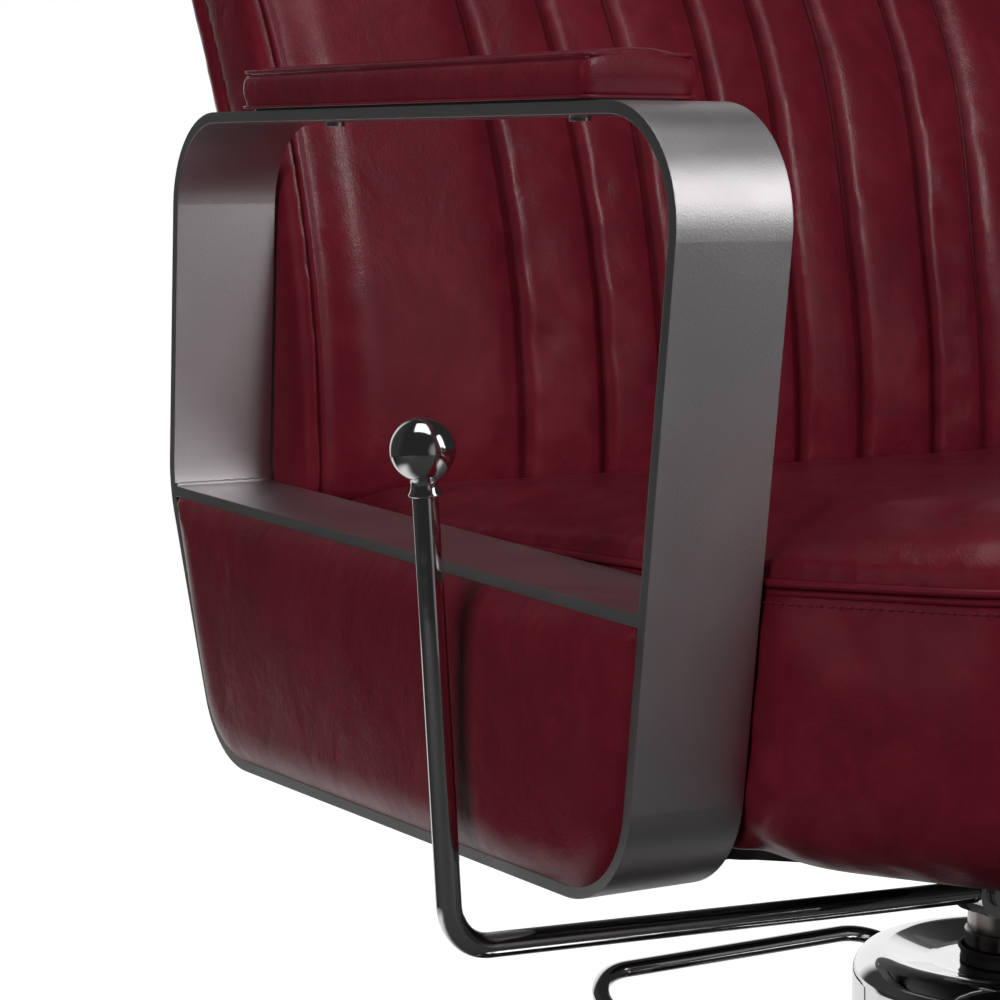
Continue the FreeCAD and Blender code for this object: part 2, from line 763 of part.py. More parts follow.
arm_sketch = document.addObject("Sketcher::SketchObject", "arm_outline")
draw(arm_sketch, [
    (arm_top_front, arm_top, arm_bend),
    (arm_top_rear, arm_top, arm_bend),
    (arm_knee_y, arm_knee_z, arm_bend_rear),
    (arm_bottom_rear, arm_bottom, arm_bend),
    (arm_bottom_front, arm_bottom, arm_bend),
])
put(arm_sketch, x=-arm_outside, rotation=ACROSS)
arm_inner = document.addObject("Part::Offset2D", "arm_inner")
arm_inner.Source = arm_sketch
bind(arm_inner, "Value", -arm_band)
arm_window = prism(arm_inner, arm_width)
arm_loop = cut(prism(arm_sketch, arm_width), arm_window)

rest_x = -(arm_outside - arm_width / 2)
screw_places = (rest_screw_front, rest_screw_rear)
screw_hole = screw_radius + hole_clearance
arm_holes = []
for place in screw_places:
    arm_holes.append(put(cylinder(screw_hole, through), x=rest_x, y=place,
                         z=arm_top - through / 2))
for place in (rail_front, rail_rear):
    arm_holes.append(put(cylinder(bolt_hole, through), x=-arm_bolt_x, y=place,
                         z=arm_bottom - through / 2))
pair(cut(arm_loop, *arm_holes), "arm_frame")

front_corner = (arm_top_front, arm_top)
knee = (arm_knee_y, arm_knee_z)
shelf_front_y = side_line(front_corner, arm_bottom_front, shelf_front_z)
shelf_blank = slab("shelf_blank", "YZ_Plane", [
    (arm_knee_y, arm_knee_z),
    (shelf_front_y, shelf_front_z),
    (shelf_front_y, shelf_front_z - arm_band),
    (arm_knee_y, arm_knee_z - arm_band),
], arm_width)
put(shelf_blank, x=rest_x)
pair(common(shelf_blank, arm_window), "arm_shelf")

# The padded panel fills the lower window, set back behind the band's outer edge.
margin = arm_band + gap
panel_low = arm_bottom + margin
panel_rear_top = arm_knee_z - margin
panel_front_top = shelf_front_z - margin
panel = slab("panel", "YZ_Plane", [
    (side_line(front_corner, arm_bottom_front, panel_low) + margin, panel_low, arm_bend - margin),
    (side_line(knee, arm_bottom_rear, panel_low) - margin * 1.08, panel_low, arm_bend - margin),
    (side_line(knee, arm_bottom_rear, panel_rear_top) - margin * 1.08, panel_rear_top, 6),
    (side_line(front_corner, arm_bottom_front, panel_front_top) + margin, panel_front_top, 6),
], panel_thickness)
softened(panel, 12, lambda edge: edge.BoundBox.XMax < 0)
put(panel, x=-(arm_outside - panel_recess - panel_thickness / 2))
pair(panel, "side_panel")


# Arm pads on their boards, screwed from below through the band

rest_middle = (rest_front + rest_rear) / 2
rest_length = rest_rear - rest_front
half_rest = rest_width / 2
arm_pad = slab("arm_pad_form", "XZ_Plane", [
    (-half_rest, 0, 3),
    (-half_rest, rest_thickness - 2, 7),
    (0, rest_thickness + rest_crown, rest_round),
    (half_rest, rest_thickness - 2, 7),
    (half_rest, 0, 3),
], rest_length)
softened(arm_pad, 5, lambda edge: edge.BoundBox.YLength < 0.01)
put(arm_pad, x=rest_x, y=rest_middle, z=arm_top + rest_board + gap)
pair(arm_pad, "arm_pad")

half_board_x = half_rest - 4
half_board_y = rest_length / 2 - 4
board = slab("board", "XY_Plane", [
    (-half_board_x, -half_board_y, 8),
    (half_board_x, -half_board_y, 8),
    (half_board_x, half_board_y, 8),
    (-half_board_x, half_board_y, 8),
], rest_board, centred=False)
put(board, x=rest_x, y=rest_middle, z=arm_top)
board_holes = []
screws = []
for place in screw_places:
    board_holes.append(put(cylinder(screw_hole, through), x=rest_x, y=place,
                           z=arm_top - through / 2))
    head = put(cylinder(2 * screw_radius, 2.4), x=rest_x, y=place, z=arm_top - arm_band - 2.4)
    shank = put(cylinder(screw_radius, arm_band + rest_board), x=rest_x, y=place,
                z=arm_top - arm_band)
    screws.append(joined(head, shank))
pair(cut(board, *board_holes), "arm_pad_board")
pair(group(screws), "arm_pad_screws")

arm_bolts = []
for place in (rail_front, rail_rear):
    head = put(hexagon(bolt_head, bolt_head_height), x=-arm_bolt_x, y=place,
               z=arm_bottom - bolt_head_height)
    shank = put(cylinder(bolt_radius, arm_band + rail_thickness + 3), x=-arm_bolt_x, y=place,
                z=arm_bottom)
    arm_bolts.append(joined(head, shank))
pair(group(arm_bolts), "arm_bolts")


# Seat: padded box with a bowed front, and the cushion sewn on above its seam

def seat_outline(swell, rear, drawn_x, drawn_y):
    """Plan of the seat, let out all round its front by the swell, or drawn in.

    Where it is drawn in, its corners move back by the two given shares.
    """
    side = float(seat_half_width) + min(swell, 1.5)
    out, drawn = max(swell, 0.0), max(-swell, 0.0)
    corner_x = float(seat_corner_x) + 0.6 * out - drawn_x * drawn
    corner_y = float(seat_corner_y) - 0.8 * out + drawn_y * drawn
    right = [(-side, rear), (-side, float(seat_side_front), 45), (-corner_x, corner_y, 70)]
    left = [(-corner[0],) + corner[1:] for corner in reversed(right)]
    return right + [(0, float(seat_nose_y) - swell, 800)] + left


def seam_height(y):
    """Height of the sloping seam plane."""
    share = (y - float(seat_nose_y)) / float(seat_rear - seat_nose_y)
    return interpolate(float(seam_front_z), float(seam_rear_z), share)


def turned_under(height, reach, inset):
    """Inset of a quarter-round edge at a height above its start."""
    share = max(0.0, 1.0 - height / reach)
    return inset * (1.0 - math.sqrt(1.0 - share ** 2))


belly_height = float(seam_front_z - belly_bottom)
belly_sections = []
for step in range(9):
    share = (step / 8) ** 1.5
    height = share * belly_height
    swell = float(belly_bulge) * math.sin(math.pi * share)
    swell -= turned_under(height, float(belly_under), float(belly_inset))
    swell -= 2.5 * share ** 8
    level = float(belly_bottom) + height
    belly_sections.append(rounded_wire(
        seat_outline(swell, float(seat_step) - 0.5, 1.1, 0.41),
        lambda point, level=level: FreeCAD.Vector(point.x, point.y, level)))
belly = loft(belly_sections)

above = 60
trim_rear = seat_step + 40
slope_of_seam = (seam_rear_z - seam_front_z) / (seat_rear - seat_nose_y)
trim_front = seat_nose_y - above
seam_trim = slab("seam_trim", "YZ_Plane", [
    (trim_front, seam_front_z + slope_of_seam * (trim_front - seat_nose_y)),
    (trim_rear, seam_front_z + slope_of_seam * (trim_rear - seat_nose_y)),
    (trim_rear, seam_front_z + above),
    (trim_front, seam_front_z + above),
], 4 * seat_half_width)
box_front = seat_step - 12
seat_block = slab("seat_block", "YZ_Plane", [
    (box_front, pan_top + gap),
    (seat_rear, pan_top + gap, 6),
    (seat_rear, seam_rear_z, 6),
    (box_front, seam_front_z + slope_of_seam * (box_front - seat_nose_y)),
], 2 * seat_half_width)
keep(joined(cut(belly, seam_trim), seat_block), "seat_box")

upright = float(cushion_height - cushion_edge)
stations = [(0.0, 2.5), (upright / 2, -1.0)]
for step in range(7):
    angle = math.radians(14 * step)
    stations.append((upright + float(cushion_edge) * math.sin(angle),
                     float(cushion_inset) * (1 - math.cos(angle)) - 1.5 * math.cos(angle)))
cushion_sections = []
for height, inset in stations:
    rear = float(seat_rear) + 1 - inset * 0.4

    def on_cushion(point, height=height):
        """Sections lean back, so that the cushion is thinner at the rear."""
        share_back = (point.y - float(seat_nose_y)) / float(seat_rear - seat_nose_y)
        lift = height * (1.0 - cushion_fall * share_back)
        return FreeCAD.Vector(point.x, point.y, seam_height(point.y) + float(gap) + lift)

    cushion_sections.append(rounded_wire(seat_outline(-inset, rear, 0.6, 0.8), on_cushion))
keep(loft(cushion_sections), "seat_cushion")


# Back: curved board with two recline lugs, channelled front, plain rear shell

def back_line(z):
    """Front of the back at a height: upright, a hollow curve, then a straighter one."""
    start = float(back_curve_z)
    turn = float(back_turn_z)
    lower = float(back_curve)
    upper = float(back_upper_curve)
    if z <= start:
        return float(back_front_y)
    if z <= turn:
        return float(back_front_y) + lower - math.sqrt(lower ** 2 - (z - start) ** 2)
    steepest = (turn - start) / lower
    lean = steepest - (z - turn) / upper
    at_turn = back_line(turn)
    return at_turn + upper * (math.sqrt(1 - lean ** 2) - math.sqrt(1 - steepest ** 2))


def back_lean(z):
    """Lean of the back from upright, in radians."""
    return math.atan((back_line(z + 0.01) - back_line(z - 0.01)) / 0.02)


def back_apex(from_z, to_z):
    """Where the tangents at two heights of the back's front meet."""
    first, last = math.tan(back_lean(from_z)), math.tan(back_lean(to_z))
    y_first, y_last = back_line(from_z), back_line(to_z)
    z = (y_first - y_last + last * to_z - first * from_z) / (last - first)
    return y_first + first * (z - from_z) - float(back_front_y), z


board_foot = back_foot + 3
board_top = back_top - 15
low_apex = back_apex(float(back_curve_z) + 2, float(back_turn_z) - 2)
high_apex = back_apex(float(back_turn_z) + 2, float(board_top) - 2)
top_shift = back_line(float(board_top)) - float(back_front_y)
board_front = back_front_y + back_padding + gap
board_rear = board_front + back_board - 2 * gap
low_bend = back_curve * 0.97
high_bend = back_upper_curve * 0.97
board_blank = slab("board_blank", "YZ_Plane", [
    (board_front, board_foot),
    (board_front + low_apex[0], low_apex[1], low_bend),
    (board_front + high_apex[0], high_apex[1], high_bend),
    (board_front + top_shift, board_top),
    (board_rear + top_shift, board_top),
    (board_rear + high_apex[0], high_apex[1], high_bend),
    (board_rear + low_apex[0], low_apex[1], low_bend),
    (board_rear, board_foot),
], 2 * (back_half_width - 14))
lugs = []
for side in (-1, 1):
    lug = slab("recline_lug", "YZ_Plane", [
        (recline_y - ear_radius, recline_z - ear_radius, ear_radius - 0.1),
        (recline_y + ear_radius, recline_z - ear_radius, ear_radius - 0.1),
        (board_rear, recline_z + 4, 8),
        (board_rear, board_foot + 80),
        (board_front, board_foot + 70),
        (board_front, recline_z + ear_radius + 2, 3),
        (recline_y - ear_radius, recline_z + ear_radius, ear_radius - 0.1),
    ], lug_thickness)
    lugs.append(put(lug, x=side * ear_x))
pin_bore = put(cylinder(recline_pin_radius + fit, 4 * ear_x), x=-2 * ear_x, y=recline_y,
               z=recline_z, rotation=ALONG_X)
back_frame_solid = cut(joined(board_blank, *lugs), pin_bore)

lean = float(socket_lean)
lean_back = FreeCAD.Rotation(FreeCAD.Vector(1, 0, 0), -lean)
up_the_back = FreeCAD.Vector(0, math.sin(math.radians(lean)), math.cos(math.radians(lean)))
socket_y = as_size(back_line(float(back_top))) + back_padding + back_board / 2


def in_socket(width, depth, length, top):
    """Upright block in the top of the back, from a level on the socket's axis down."""
    piece = slab("socket_block", "XY_Plane", [
        (-width / 2, -depth / 2, 3),
        (width / 2, -depth / 2, 3),
        (width / 2, depth / 2, 3),
        (-width / 2, depth / 2, 3),
    ], length, centred=False)
    down = top - length
    return put(piece, y=socket_y + down * up_the_back.y, z=back_top + down * up_the_back.z,
               rotation=lean_back)


pocket = in_socket(socket_width + 2 * gap, socket_depth + 2 * gap,
                   socket_length + pocket_rise, pocket_rise - gap)


def front_section(y, front, rear, half):
    """Level section of the channelled front padding between two depths."""
    ahead = [(float(-channel_width) * channel_count / 2, y + front)]
    for number in range(channel_count):
        middle = float(channel_width) * (number + 0.5 - channel_count / 2)
        ahead.append((middle, y + front - 2 * float(channel_swell), 60))
        ahead.append((middle + float(channel_width) / 2, y + front))
    right = [(-half, y + rear, 4), (-half, y + front, 14)]
    return right + ahead + [(half, y + front, 14), (half, y + rear, 4)]


def rear_section(y, front, rear, half):
    """Level section of the plain rear shell between two depths."""
    return [(-half, y + rear, 7), (-half, y + front, 1.5), (half, y + front, 1.5),
            (half, y + rear, 7)]


heights = [0.0, 0.012, 0.04, 0.09, 0.16, 0.26, 0.37, 0.48, 0.6, 0.72, 0.82, 0.9, 0.95, 0.982, 1.0]


def back_layer(section, front, rear, front_round, rear_round):
    """Padded layer lofted up the back, with rounded lower and upper edges."""
    sections = []
    for share in heights:
        z = interpolate(float(back_foot), float(back_top), share)
        over = float(back_top) - z
        under = z - float(back_foot)
        edge = turned_under(over, 36, 1.0) + 0.8 * turned_under(under, 26, 1.0)
        half = float(back_half_width) - turned_under(over, 60, 46) - turned_under(under, 20, 8)
        corners = section(back_line(z), float(front) + front_round * edge,
                          float(rear) - rear_round * edge, half)
        sections.append(rounded_wire(corners, lambda point, z=z: vector(point.x, point.y, z)))
    return loft(sections)


front_layer = back_layer(front_section, 0, back_padding - gap, 26, 0)
rear_layer = back_layer(rear_section, board_rear - back_front_y + 3 * gap, back_depth, 0, 13)
keep(cut(back_frame_solid, pocket), "back_frame")
keep(cut(front_layer, pocket), "back_cushion")
keep(cut(rear_layer, pocket), "back_shell")


# Recline brackets on the seat pan, with their pins

bracket_x = ear_x - lug_thickness - 1
bracket = slab("recline_bracket", "YZ_Plane", [
    (seat_rear + 3, pan_top),
    (pan_rear, pan_top),
    (recline_y + ear_radius, recline_z - 30, 10),
    (recline_y + ear_radius, recline_z + ear_radius, ear_radius - 0.1),
    (recline_y - ear_radius, recline_z + ear_radius, ear_radius - 0.1),
    (recline_y - ear_radius, recline_z - 30, 10),
], lug_thickness)
bracket_foot = block(30, pan_rear - seat_rear - 3, 5)
put(bracket_foot, x=-bracket_x, y=seat_rear + 3, z=pan_top)
put(bracket, x=-bracket_x)
pair(cut(joined(bracket, bracket_foot), pin_bore), "hinge_bracket")


def headed_pin(radius, inner, outer, y, z):
    """Cross pin with a head at each end, on the sitter's right."""
    shank = put(cylinder(radius, outer - inner), x=-outer, y=y, z=z, rotation=ALONG_X)
    outer_head = put(cylinder(radius + 3, 3), x=-outer - 3, y=y, z=z, rotation=ALONG_X)
    inner_head = put(cylinder(radius + 3, 3), x=-inner, y=y, z=z, rotation=ALONG_X)
    return joined(shank, outer_head, inner_head)


half_lug = lug_thickness / 2
pair(headed_pin(recline_pin_radius, bracket_x - half_lug - 0.5, ear_x + half_lug + 0.5,
                recline_y, recline_z), "recline_pin")


# Hand lever that releases the column: boss, bent rod and ball

hang = slab("lever_plate", "XZ_Plane", [
    (lever_x - boss_radius, head_top),
    (lever_x - boss_radius, lever_z - boss_radius, boss_radius - 1),
    (lever_x + boss_radius, lever_z - boss_radius, boss_radius - 1),
    (lever_x + boss_radius, lever_z + 9, 3),
    (lever_x + 5, head_top - 8, 3),
    (lever_x + 5, head_top),
], 7.5)
put(hang, y=lever_y + boss_length / 2 + 4.25)
lever_bore = put(cylinder(lever_pin_radius + fit, through), x=lever_x,
                 y=lever_y - through / 2, z=lever_z, rotation=ALONG_Y)
keep(cut(hang, lever_bore), "lever_bracket")

front_of_boss = lever_y - boss_length / 2
pin_length = boss_length + 10
pin_shank = put(cylinder(lever_pin_radius, pin_length), x=lever_x, y=front_of_boss - 0.5,
                z=lever_z, rotation=ALONG_Y)
pin_head = put(cylinder(lever_pin_radius + 3, 3), x=lever_x, y=front_of_boss - 3.5,
               z=lever_z, rotation=ALONG_Y)
pin_clip = put(cylinder(lever_pin_radius + 2, 2), x=lever_x, y=front_of_boss + boss_length + 8.5,
               z=lever_z, rotation=ALONG_Y)
keep(joined(pin_shank, pin_head, pin_clip), "lever_pin")

turn_out = math.radians(float(lever_turn))
start_share = 7 / float(lever_reach)
lever_rod = rod("lever_bar", [
    (lever_reach * start_share, lever_rise * start_share),
    (lever_reach, lever_rise, lever_bend),
    (knob_reach, knob_height),
], lever_radius)
put(lever_rod, x=lever_x, y=lever_y, z=lever_z,
    rotation=FreeCAD.Rotation(FreeCAD.Vector(0, 0, 1), 180 + float(lever_turn)))
keep(lever_rod, "lever_rod")

boss = put(cylinder(boss_radius, boss_length), x=lever_x, y=front_of_boss, z=lever_z,
           rotation=ALONG_Y)
keep(cut(boss, lever_bore, lever_rod), "lever_boss")

knob_x = lever_x - knob_reach * math.cos(turn_out)
knob_y = lever_y - knob_reach * math.sin(turn_out)
knob_z = lever_z + knob_height
ball = document.addObject("Part::Sphere", "ball")
bind(ball, "Radius", knob_radius)
put(ball, x=knob_x, y=knob_y, z=knob_z)
neck = put(cylinder(lever_radius + 2.5, knob_radius + 6), x=knob_x, y=knob_y,
           z=knob_z - knob_radius - 6)
keep(cut(joined(ball, neck), lever_rod), "lever_knob")


# Headrest: posts that slide in a socket, and a pad that tips on their crossbar

socket = in_socket(socket_width, socket_depth, socket_length, as_size(0))
post_bores = []
for side in (-1, 1):
    bored = put(cylinder(post_radius + fit, 2 * socket_length), x=side * post_half_span,
                y=socket_y - socket_length * up_the_back.y,
                z=back_top - socket_length * up_the_back.z, rotation=lean_back)
    post_bores.append(bored)
keep(cut(socket, *post_bores), "headrest_socket")

posts = rod("headrest_rod", [
    (post_above - post_length, -post_half_span),
    (post_above, -post_half_span, 14),
    (post_above, post_half_span, 14),
    (post_above - post_length, post_half_span),
], post_radius)
put(posts, y=socket_y, z=back_top, rotation=FreeCAD.Rotation(
    up_the_back, FreeCAD.Vector(0, 0, 0), FreeCAD.Vector(1, 0, 0), "XZY"))
keep(posts, "headrest_posts")

bar_y = socket_y + post_above * up_the_back.y
bar_z = back_top + post_above * up_the_back.z
clamp_radius = post_radius + 5
clamp_half = post_half_span - 17
tube = put(cylinder(clamp_radius, 2 * clamp_half), x=-clamp_half, rotation=ALONG_X)
tongue = put(block(2 * clamp_half, clamp_reach, clamp_half), x=-clamp_half,
             y=-clamp_reach, z=-clamp_half / 2)
clamp_bore = put(cylinder(post_radius + fit, through), x=-through / 2, rotation=ALONG_X)
keep(put(cut(joined(tube, tongue), clamp_bore), y=bar_y, z=bar_z, rotation=lean_back),
     "headrest_clamp")

half_pad_width = head_pad_width / 2
half_pad_height = head_pad_height / 2
pad_board = slab("headrest_panel", "XZ_Plane", [
    (8 - half_pad_width, 8 - half_pad_height, 22),
    (half_pad_width - 8, 8 - half_pad_height, 22),
    (half_pad_width - 8, half_pad_height - 8, 22),
    (8 - half_pad_width, half_pad_height - 8, 22),
], back_board)
board_middle = -clamp_reach - back_board / 2
put(pad_board, y=bar_y + board_middle * up_the_back.z, z=bar_z - board_middle * up_the_back.y,
    rotation=lean_back)
keep(pad_board, "headrest_board")

pad_base = float(-clamp_reach - back_board - gap)
pad_sections = []
for step in range(8):
    share = 1.0 - (1.0 - step / 7) ** 1.6
    depth = share * float(head_pad_depth)
    inset = turned_under(float(head_pad_depth) - depth, 42, 44) + 4 * (1 - share) ** 3
    half_width = float(half_pad_width) - inset
    half_height = float(half_pad_height) - 0.8 * inset
    radius = 30 - 0.2 * inset
    pad_sections.append(rounded_wire([
        (-half_width, -half_height, radius),
        (half_width, -half_height, radius),
        (half_width, half_height, radius),
        (-half_width, half_height, radius),
    ], lambda point, depth=depth: vector(point.x, pad_base - depth, point.y)))
keep(put(loft(pad_sections), y=bar_y, z=bar_z, rotation=lean_back), "headrest_pad")


# Footrest: two legs on pins under the mounting plate, and a folding tread

eye = foot_leg_width / 2
hanger = slab("footrest_hanger", "YZ_Plane", [
    (foot_pivot_y - eye, foot_pivot_z + eye, eye - 0.1),
    (foot_pivot_y - eye, foot_pivot_z - eye, eye - 0.1),
    (foot_pivot_y + eye, foot_pivot_z - eye, 6),
    (plate_front + 32, head_top - 12, 6),
    (plate_front + 32, head_top),
    (plate_front, head_top),
], foot_leg_thickness)
put(hanger, x=-foot_bracket_x)
foot_bore = put(cylinder(foot_pin_radius + fit, 4 * foot_leg_x), x=-2 * foot_leg_x,
                y=foot_pivot_y, z=foot_pivot_z, rotation=ALONG_X)
pair(cut(hanger, foot_bore), "footrest_bracket")
half_leg = foot_leg_thickness / 2
pair(headed_pin(foot_pin_radius, foot_bracket_x - half_leg - 0.5, foot_leg_x + half_leg + 0.5,
                foot_pivot_y, foot_pivot_z), "footrest_pin")

leg_length = math.hypot(float(foot_reach), float(foot_drop))
down_the_leg = FreeCAD.Vector(0, -float(foot_reach) / leg_length, -float(foot_drop) / leg_length)
leg = slab("footrest_bar", "XY_Plane", [
    (-eye, -eye, eye - 0.1),
    (eye + leg_length, -eye, eye - 0.1),
    (eye + leg_length, eye, eye - 0.1),
    (-eye, eye, eye - 0.1),
], foot_leg_thickness)
put(leg, x=-foot_leg_x, y=foot_pivot_y, z=foot_pivot_z, rotation=FreeCAD.Rotation(
    down_the_leg, FreeCAD.Vector(0, 0, 0), FreeCAD.Vector(1, 0, 0), "XZY"))
tread_y = foot_pivot_y - foot_reach
tread_z = foot_pivot_z - foot_drop
tread_bore = put(cylinder(foot_pin_radius + fit, 4 * foot_leg_x), x=-2 * foot_leg_x,
                 y=tread_y, z=tread_z, rotation=ALONG_X)
pair(cut(leg, foot_bore, tread_bore), "footrest_leg")

barrel_half = foot_leg_x - half_leg - 1
barrel = put(cylinder(foot_pin_radius + 5, 2 * barrel_half), x=-barrel_half, rotation=ALONG_X)
web = put(block(2 * barrel_half - 10, 24, tread_thickness), x=5 - barrel_half, y=-26, z=-2)
tread_front = -tread_depth - eye - 3
tread_plate = slab("tread_plate", "XY_Plane", [
    (-tread_width / 2, tread_front, 26),
    (tread_width / 2, tread_front, 26),
    (tread_width / 2, -eye - 3, 12),
    (-tread_width / 2, -eye - 3, 12),
], tread_thickness, centred=False)
put(tread_plate, z=-2)
barrel_bore = put(cylinder(foot_pin_radius + fit, 4 * foot_leg_x), x=-2 * foot_leg_x,
                  rotation=ALONG_X)
tip_up = FreeCAD.Rotation(FreeCAD.Vector(1, 0, 0), -float(tread_tilt))
keep(put(cut(joined(barrel, web, tread_plate), barrel_bore), y=tread_y, z=tread_z,
         rotation=tip_up), "foot_tread")

strips = []
strip_count = 4
strip_pitch = (tread_depth - 20) / strip_count
for number in range(strip_count):
    strips.append(put(block(tread_width - 60, 13, 3), x=30 - tread_width / 2,
                      y=tread_front + 14 + strip_pitch * number, z=tread_thickness - 2))
keep(put(group(strips), y=tread_y, z=tread_z, rotation=tip_up), "tread_strips")

tread_pin_half = foot_leg_x + half_leg + 0.5
tread_shank = put(cylinder(foot_pin_radius, 2 * tread_pin_half), x=-tread_pin_half,
                  y=tread_y, z=tread_z, rotation=ALONG_X)
pin_ends = []
for start in (-tread_pin_half - 3, tread_pin_half):
    pin_ends.append(put(cylinder(foot_pin_radius + 3, 3), x=start, y=tread_y, z=tread_z,
                        rotation=ALONG_X))
keep(joined(tread_shank, *pin_ends), "tread_pin")


# Check every piece and write it

document.recompute()
faults = []
for thing in document.Objects:
    if "Invalid" in thing.State or "Error" in thing.State:
        faults.append(f"{thing.Name}: {thing.State}")
for thing in pieces:
    shape = thing.Shape
    if shape.isNull() or not shape.isValid() or not shape.Solids:
        faults.append(f"{thing.Label}: no valid solid")
if faults:
    raise RuntimeError("; ".join(faults))

os.makedirs("parts", exist_ok=True)
for thing in pieces:
    thing.Shape.exportStep(f"parts/{thing.Label}.step")
    print(f"{thing.Label}: {thing.Shape.Volume / 1000:.1f} cm3")
print(f"{len(pieces)} pieces")
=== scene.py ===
# %% [markdown]
# # Dressing a hydraulic barber chair
#
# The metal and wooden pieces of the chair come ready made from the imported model. This
# lesson gives them their finishes and makes the leather over them: covers are taken from
# the padded solids, blown up against their seams as foam does it, and then stitched.

import json
import math

import bmesh
import bpy
import numpy as np
from mathutils import Matrix, Vector, geometry
from mathutils.kdtree import KDTree

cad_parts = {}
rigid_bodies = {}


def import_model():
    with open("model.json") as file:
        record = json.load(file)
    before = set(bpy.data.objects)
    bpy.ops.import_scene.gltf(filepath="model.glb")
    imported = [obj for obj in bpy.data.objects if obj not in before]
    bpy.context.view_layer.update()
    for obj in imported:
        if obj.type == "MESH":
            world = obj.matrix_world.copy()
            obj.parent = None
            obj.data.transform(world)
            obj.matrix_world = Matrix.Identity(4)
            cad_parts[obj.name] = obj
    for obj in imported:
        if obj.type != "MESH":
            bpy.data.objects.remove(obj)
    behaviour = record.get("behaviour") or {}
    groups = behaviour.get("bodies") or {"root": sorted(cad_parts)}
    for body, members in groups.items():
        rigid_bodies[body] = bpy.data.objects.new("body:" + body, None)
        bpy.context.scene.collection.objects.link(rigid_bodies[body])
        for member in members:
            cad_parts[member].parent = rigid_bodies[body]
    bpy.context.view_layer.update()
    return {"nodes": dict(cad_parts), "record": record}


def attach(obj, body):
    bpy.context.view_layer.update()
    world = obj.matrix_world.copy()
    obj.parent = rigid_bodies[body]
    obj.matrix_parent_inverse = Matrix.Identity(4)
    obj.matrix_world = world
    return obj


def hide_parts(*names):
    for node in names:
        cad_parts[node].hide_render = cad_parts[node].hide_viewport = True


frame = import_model()
scene = bpy.context.scene
print("packed pieces:", len(frame["nodes"]))

# %% [markdown]
# ## Camera
#
# The chair was seen from its right front side, a little above the arm rests and with a
# long lens, so that the arm's flat band shows its outer edge and its front. A camera
# could be aimed with a constraint; written angles are simpler and never drift.

# %% Camera
camera_data = bpy.data.cameras.new("portrait_camera")
camera_data.lens = 108
camera_data.sensor_width = 36
camera = bpy.data.objects.new("portrait_camera", camera_data)
camera.location = (-1.055, -1.218, 0.670)
camera.rotation_euler = (math.radians(83.53), 0, math.radians(-31))
scene.collection.objects.link(camera)
scene.camera = camera
scene.view_settings.view_transform = "Standard"
print("camera at", tuple(camera.location))

# %% [markdown]
# ## Nodes in short words
#
# The room, the floor and every finish are patterns of shader nodes. One class adds them
# with a word each, so that a pattern reads like a formula. Node groups would do as well,
# but a formula is easier to read and to change.

# %% Short words for nodes
# A mix node has sockets for every kind of value. These are the ones for colours.
MIX_SHARE, MIX_FIRST, MIX_SECOND, MIX_RESULT = 0, 6, 7, 2


class Nodes:
    """A node tree, with short words for the nodes that its pattern needs."""

    def __init__(self, tree):
        self.tree = tree

    def add(self, kind, **settings):
        """New node, with some of its settings."""
        node = self.tree.nodes.new(kind)
        for setting, value in settings.items():
            setattr(node, setting, value)
        return node

    def give(self, socket, value):
        """Feed a socket from another one, or set it to a plain value."""
        if isinstance(value, bpy.types.NodeSocket):
            self.tree.links.new(value, socket)
        else:
            socket.default_value = value

    def sums(self, operation, *values):
        """Result of a sum of two or three values."""
        node = self.add("ShaderNodeMath", operation=operation)
        for socket, value in zip(node.inputs, values):
            self.give(socket, value)
        return node.outputs[0]

    def vector_sums(self, operation, *values):
        """Result of a sum of places or directions."""
        node = self.add("ShaderNodeVectorMath", operation=operation)
        for socket, value in zip(node.inputs, values):
            self.give(socket, value)
        return node.outputs["Value" if operation in ("DOT_PRODUCT", "LENGTH") else "Vector"]

    def spread(self, source, low, high, first, last, smooth=False):
        """A value that goes from first to last while its source goes from low to high."""
        node = self.add("ShaderNodeMapRange",
                        interpolation_type="SMOOTHSTEP" if smooth else "LINEAR")
        for socket, value in zip(node.inputs, (source, low, high, first, last)):
            self.give(socket, value)
        return node.outputs[0]

    def mixed(self, share, first, second):
        """Colour between two others."""
        node = self.add("ShaderNodeMix", data_type="RGBA")
        self.give(node.inputs[MIX_SHARE], share)
        self.give(node.inputs[MIX_FIRST], first)
        self.give(node.inputs[MIX_SECOND], second)
        return node.outputs[MIX_RESULT]


# %% [markdown]
# ## Studio
#
# Polished metal is only as good as what it mirrors. The room is nearly dark, with a white
# wall behind the chair, a faint one beside it and a grey one in front. It could be one
# flat white, but then chrome looks like paper and leather like plastic. Camera rays
# always see plain white.

# %% The room
world = bpy.data.worlds.new("studio_room")
scene.world = world
world.use_nodes = True
room = Nodes(world.node_tree)
room.tree.nodes.clear()
towards = room.add("ShaderNodeTexCoord").outputs["Generated"]
wall = 0.025
for direction, start, end, white in (((0.41, 0.91, 0.12), 0.79, 0.93, 1.0),
                                     ((-0.45, 0.89, 0.10), 0.60, 0.95, 0.02),
                                     ((0.30, -0.95, 0.0), 0.86, 0.99, 0.25)):
    facing = room.vector_sums("DOT_PRODUCT", towards, Vector(direction).normalized())
    share = room.spread(facing, start, end, 0, 1, smooth=True)
    wall = room.sums("MULTIPLY_ADD", share, white, wall)
room_rays = room.add("ShaderNodeLightPath").outputs
in_sight = room.sums("MAXIMUM", room_rays["Is Camera Ray"], room_rays["Is Glossy Ray"])
room_light = room.add("ShaderNodeBackground")
room.give(room_light.inputs["Color"],
          room.mixed(room_rays["Is Camera Ray"], wall, (1, 1, 1, 1)))
room.give(room_light.inputs["Strength"], room.spread(in_sight, 0, 1, 0.8, 1.0))
room_out = room.add("ShaderNodeOutputWorld")
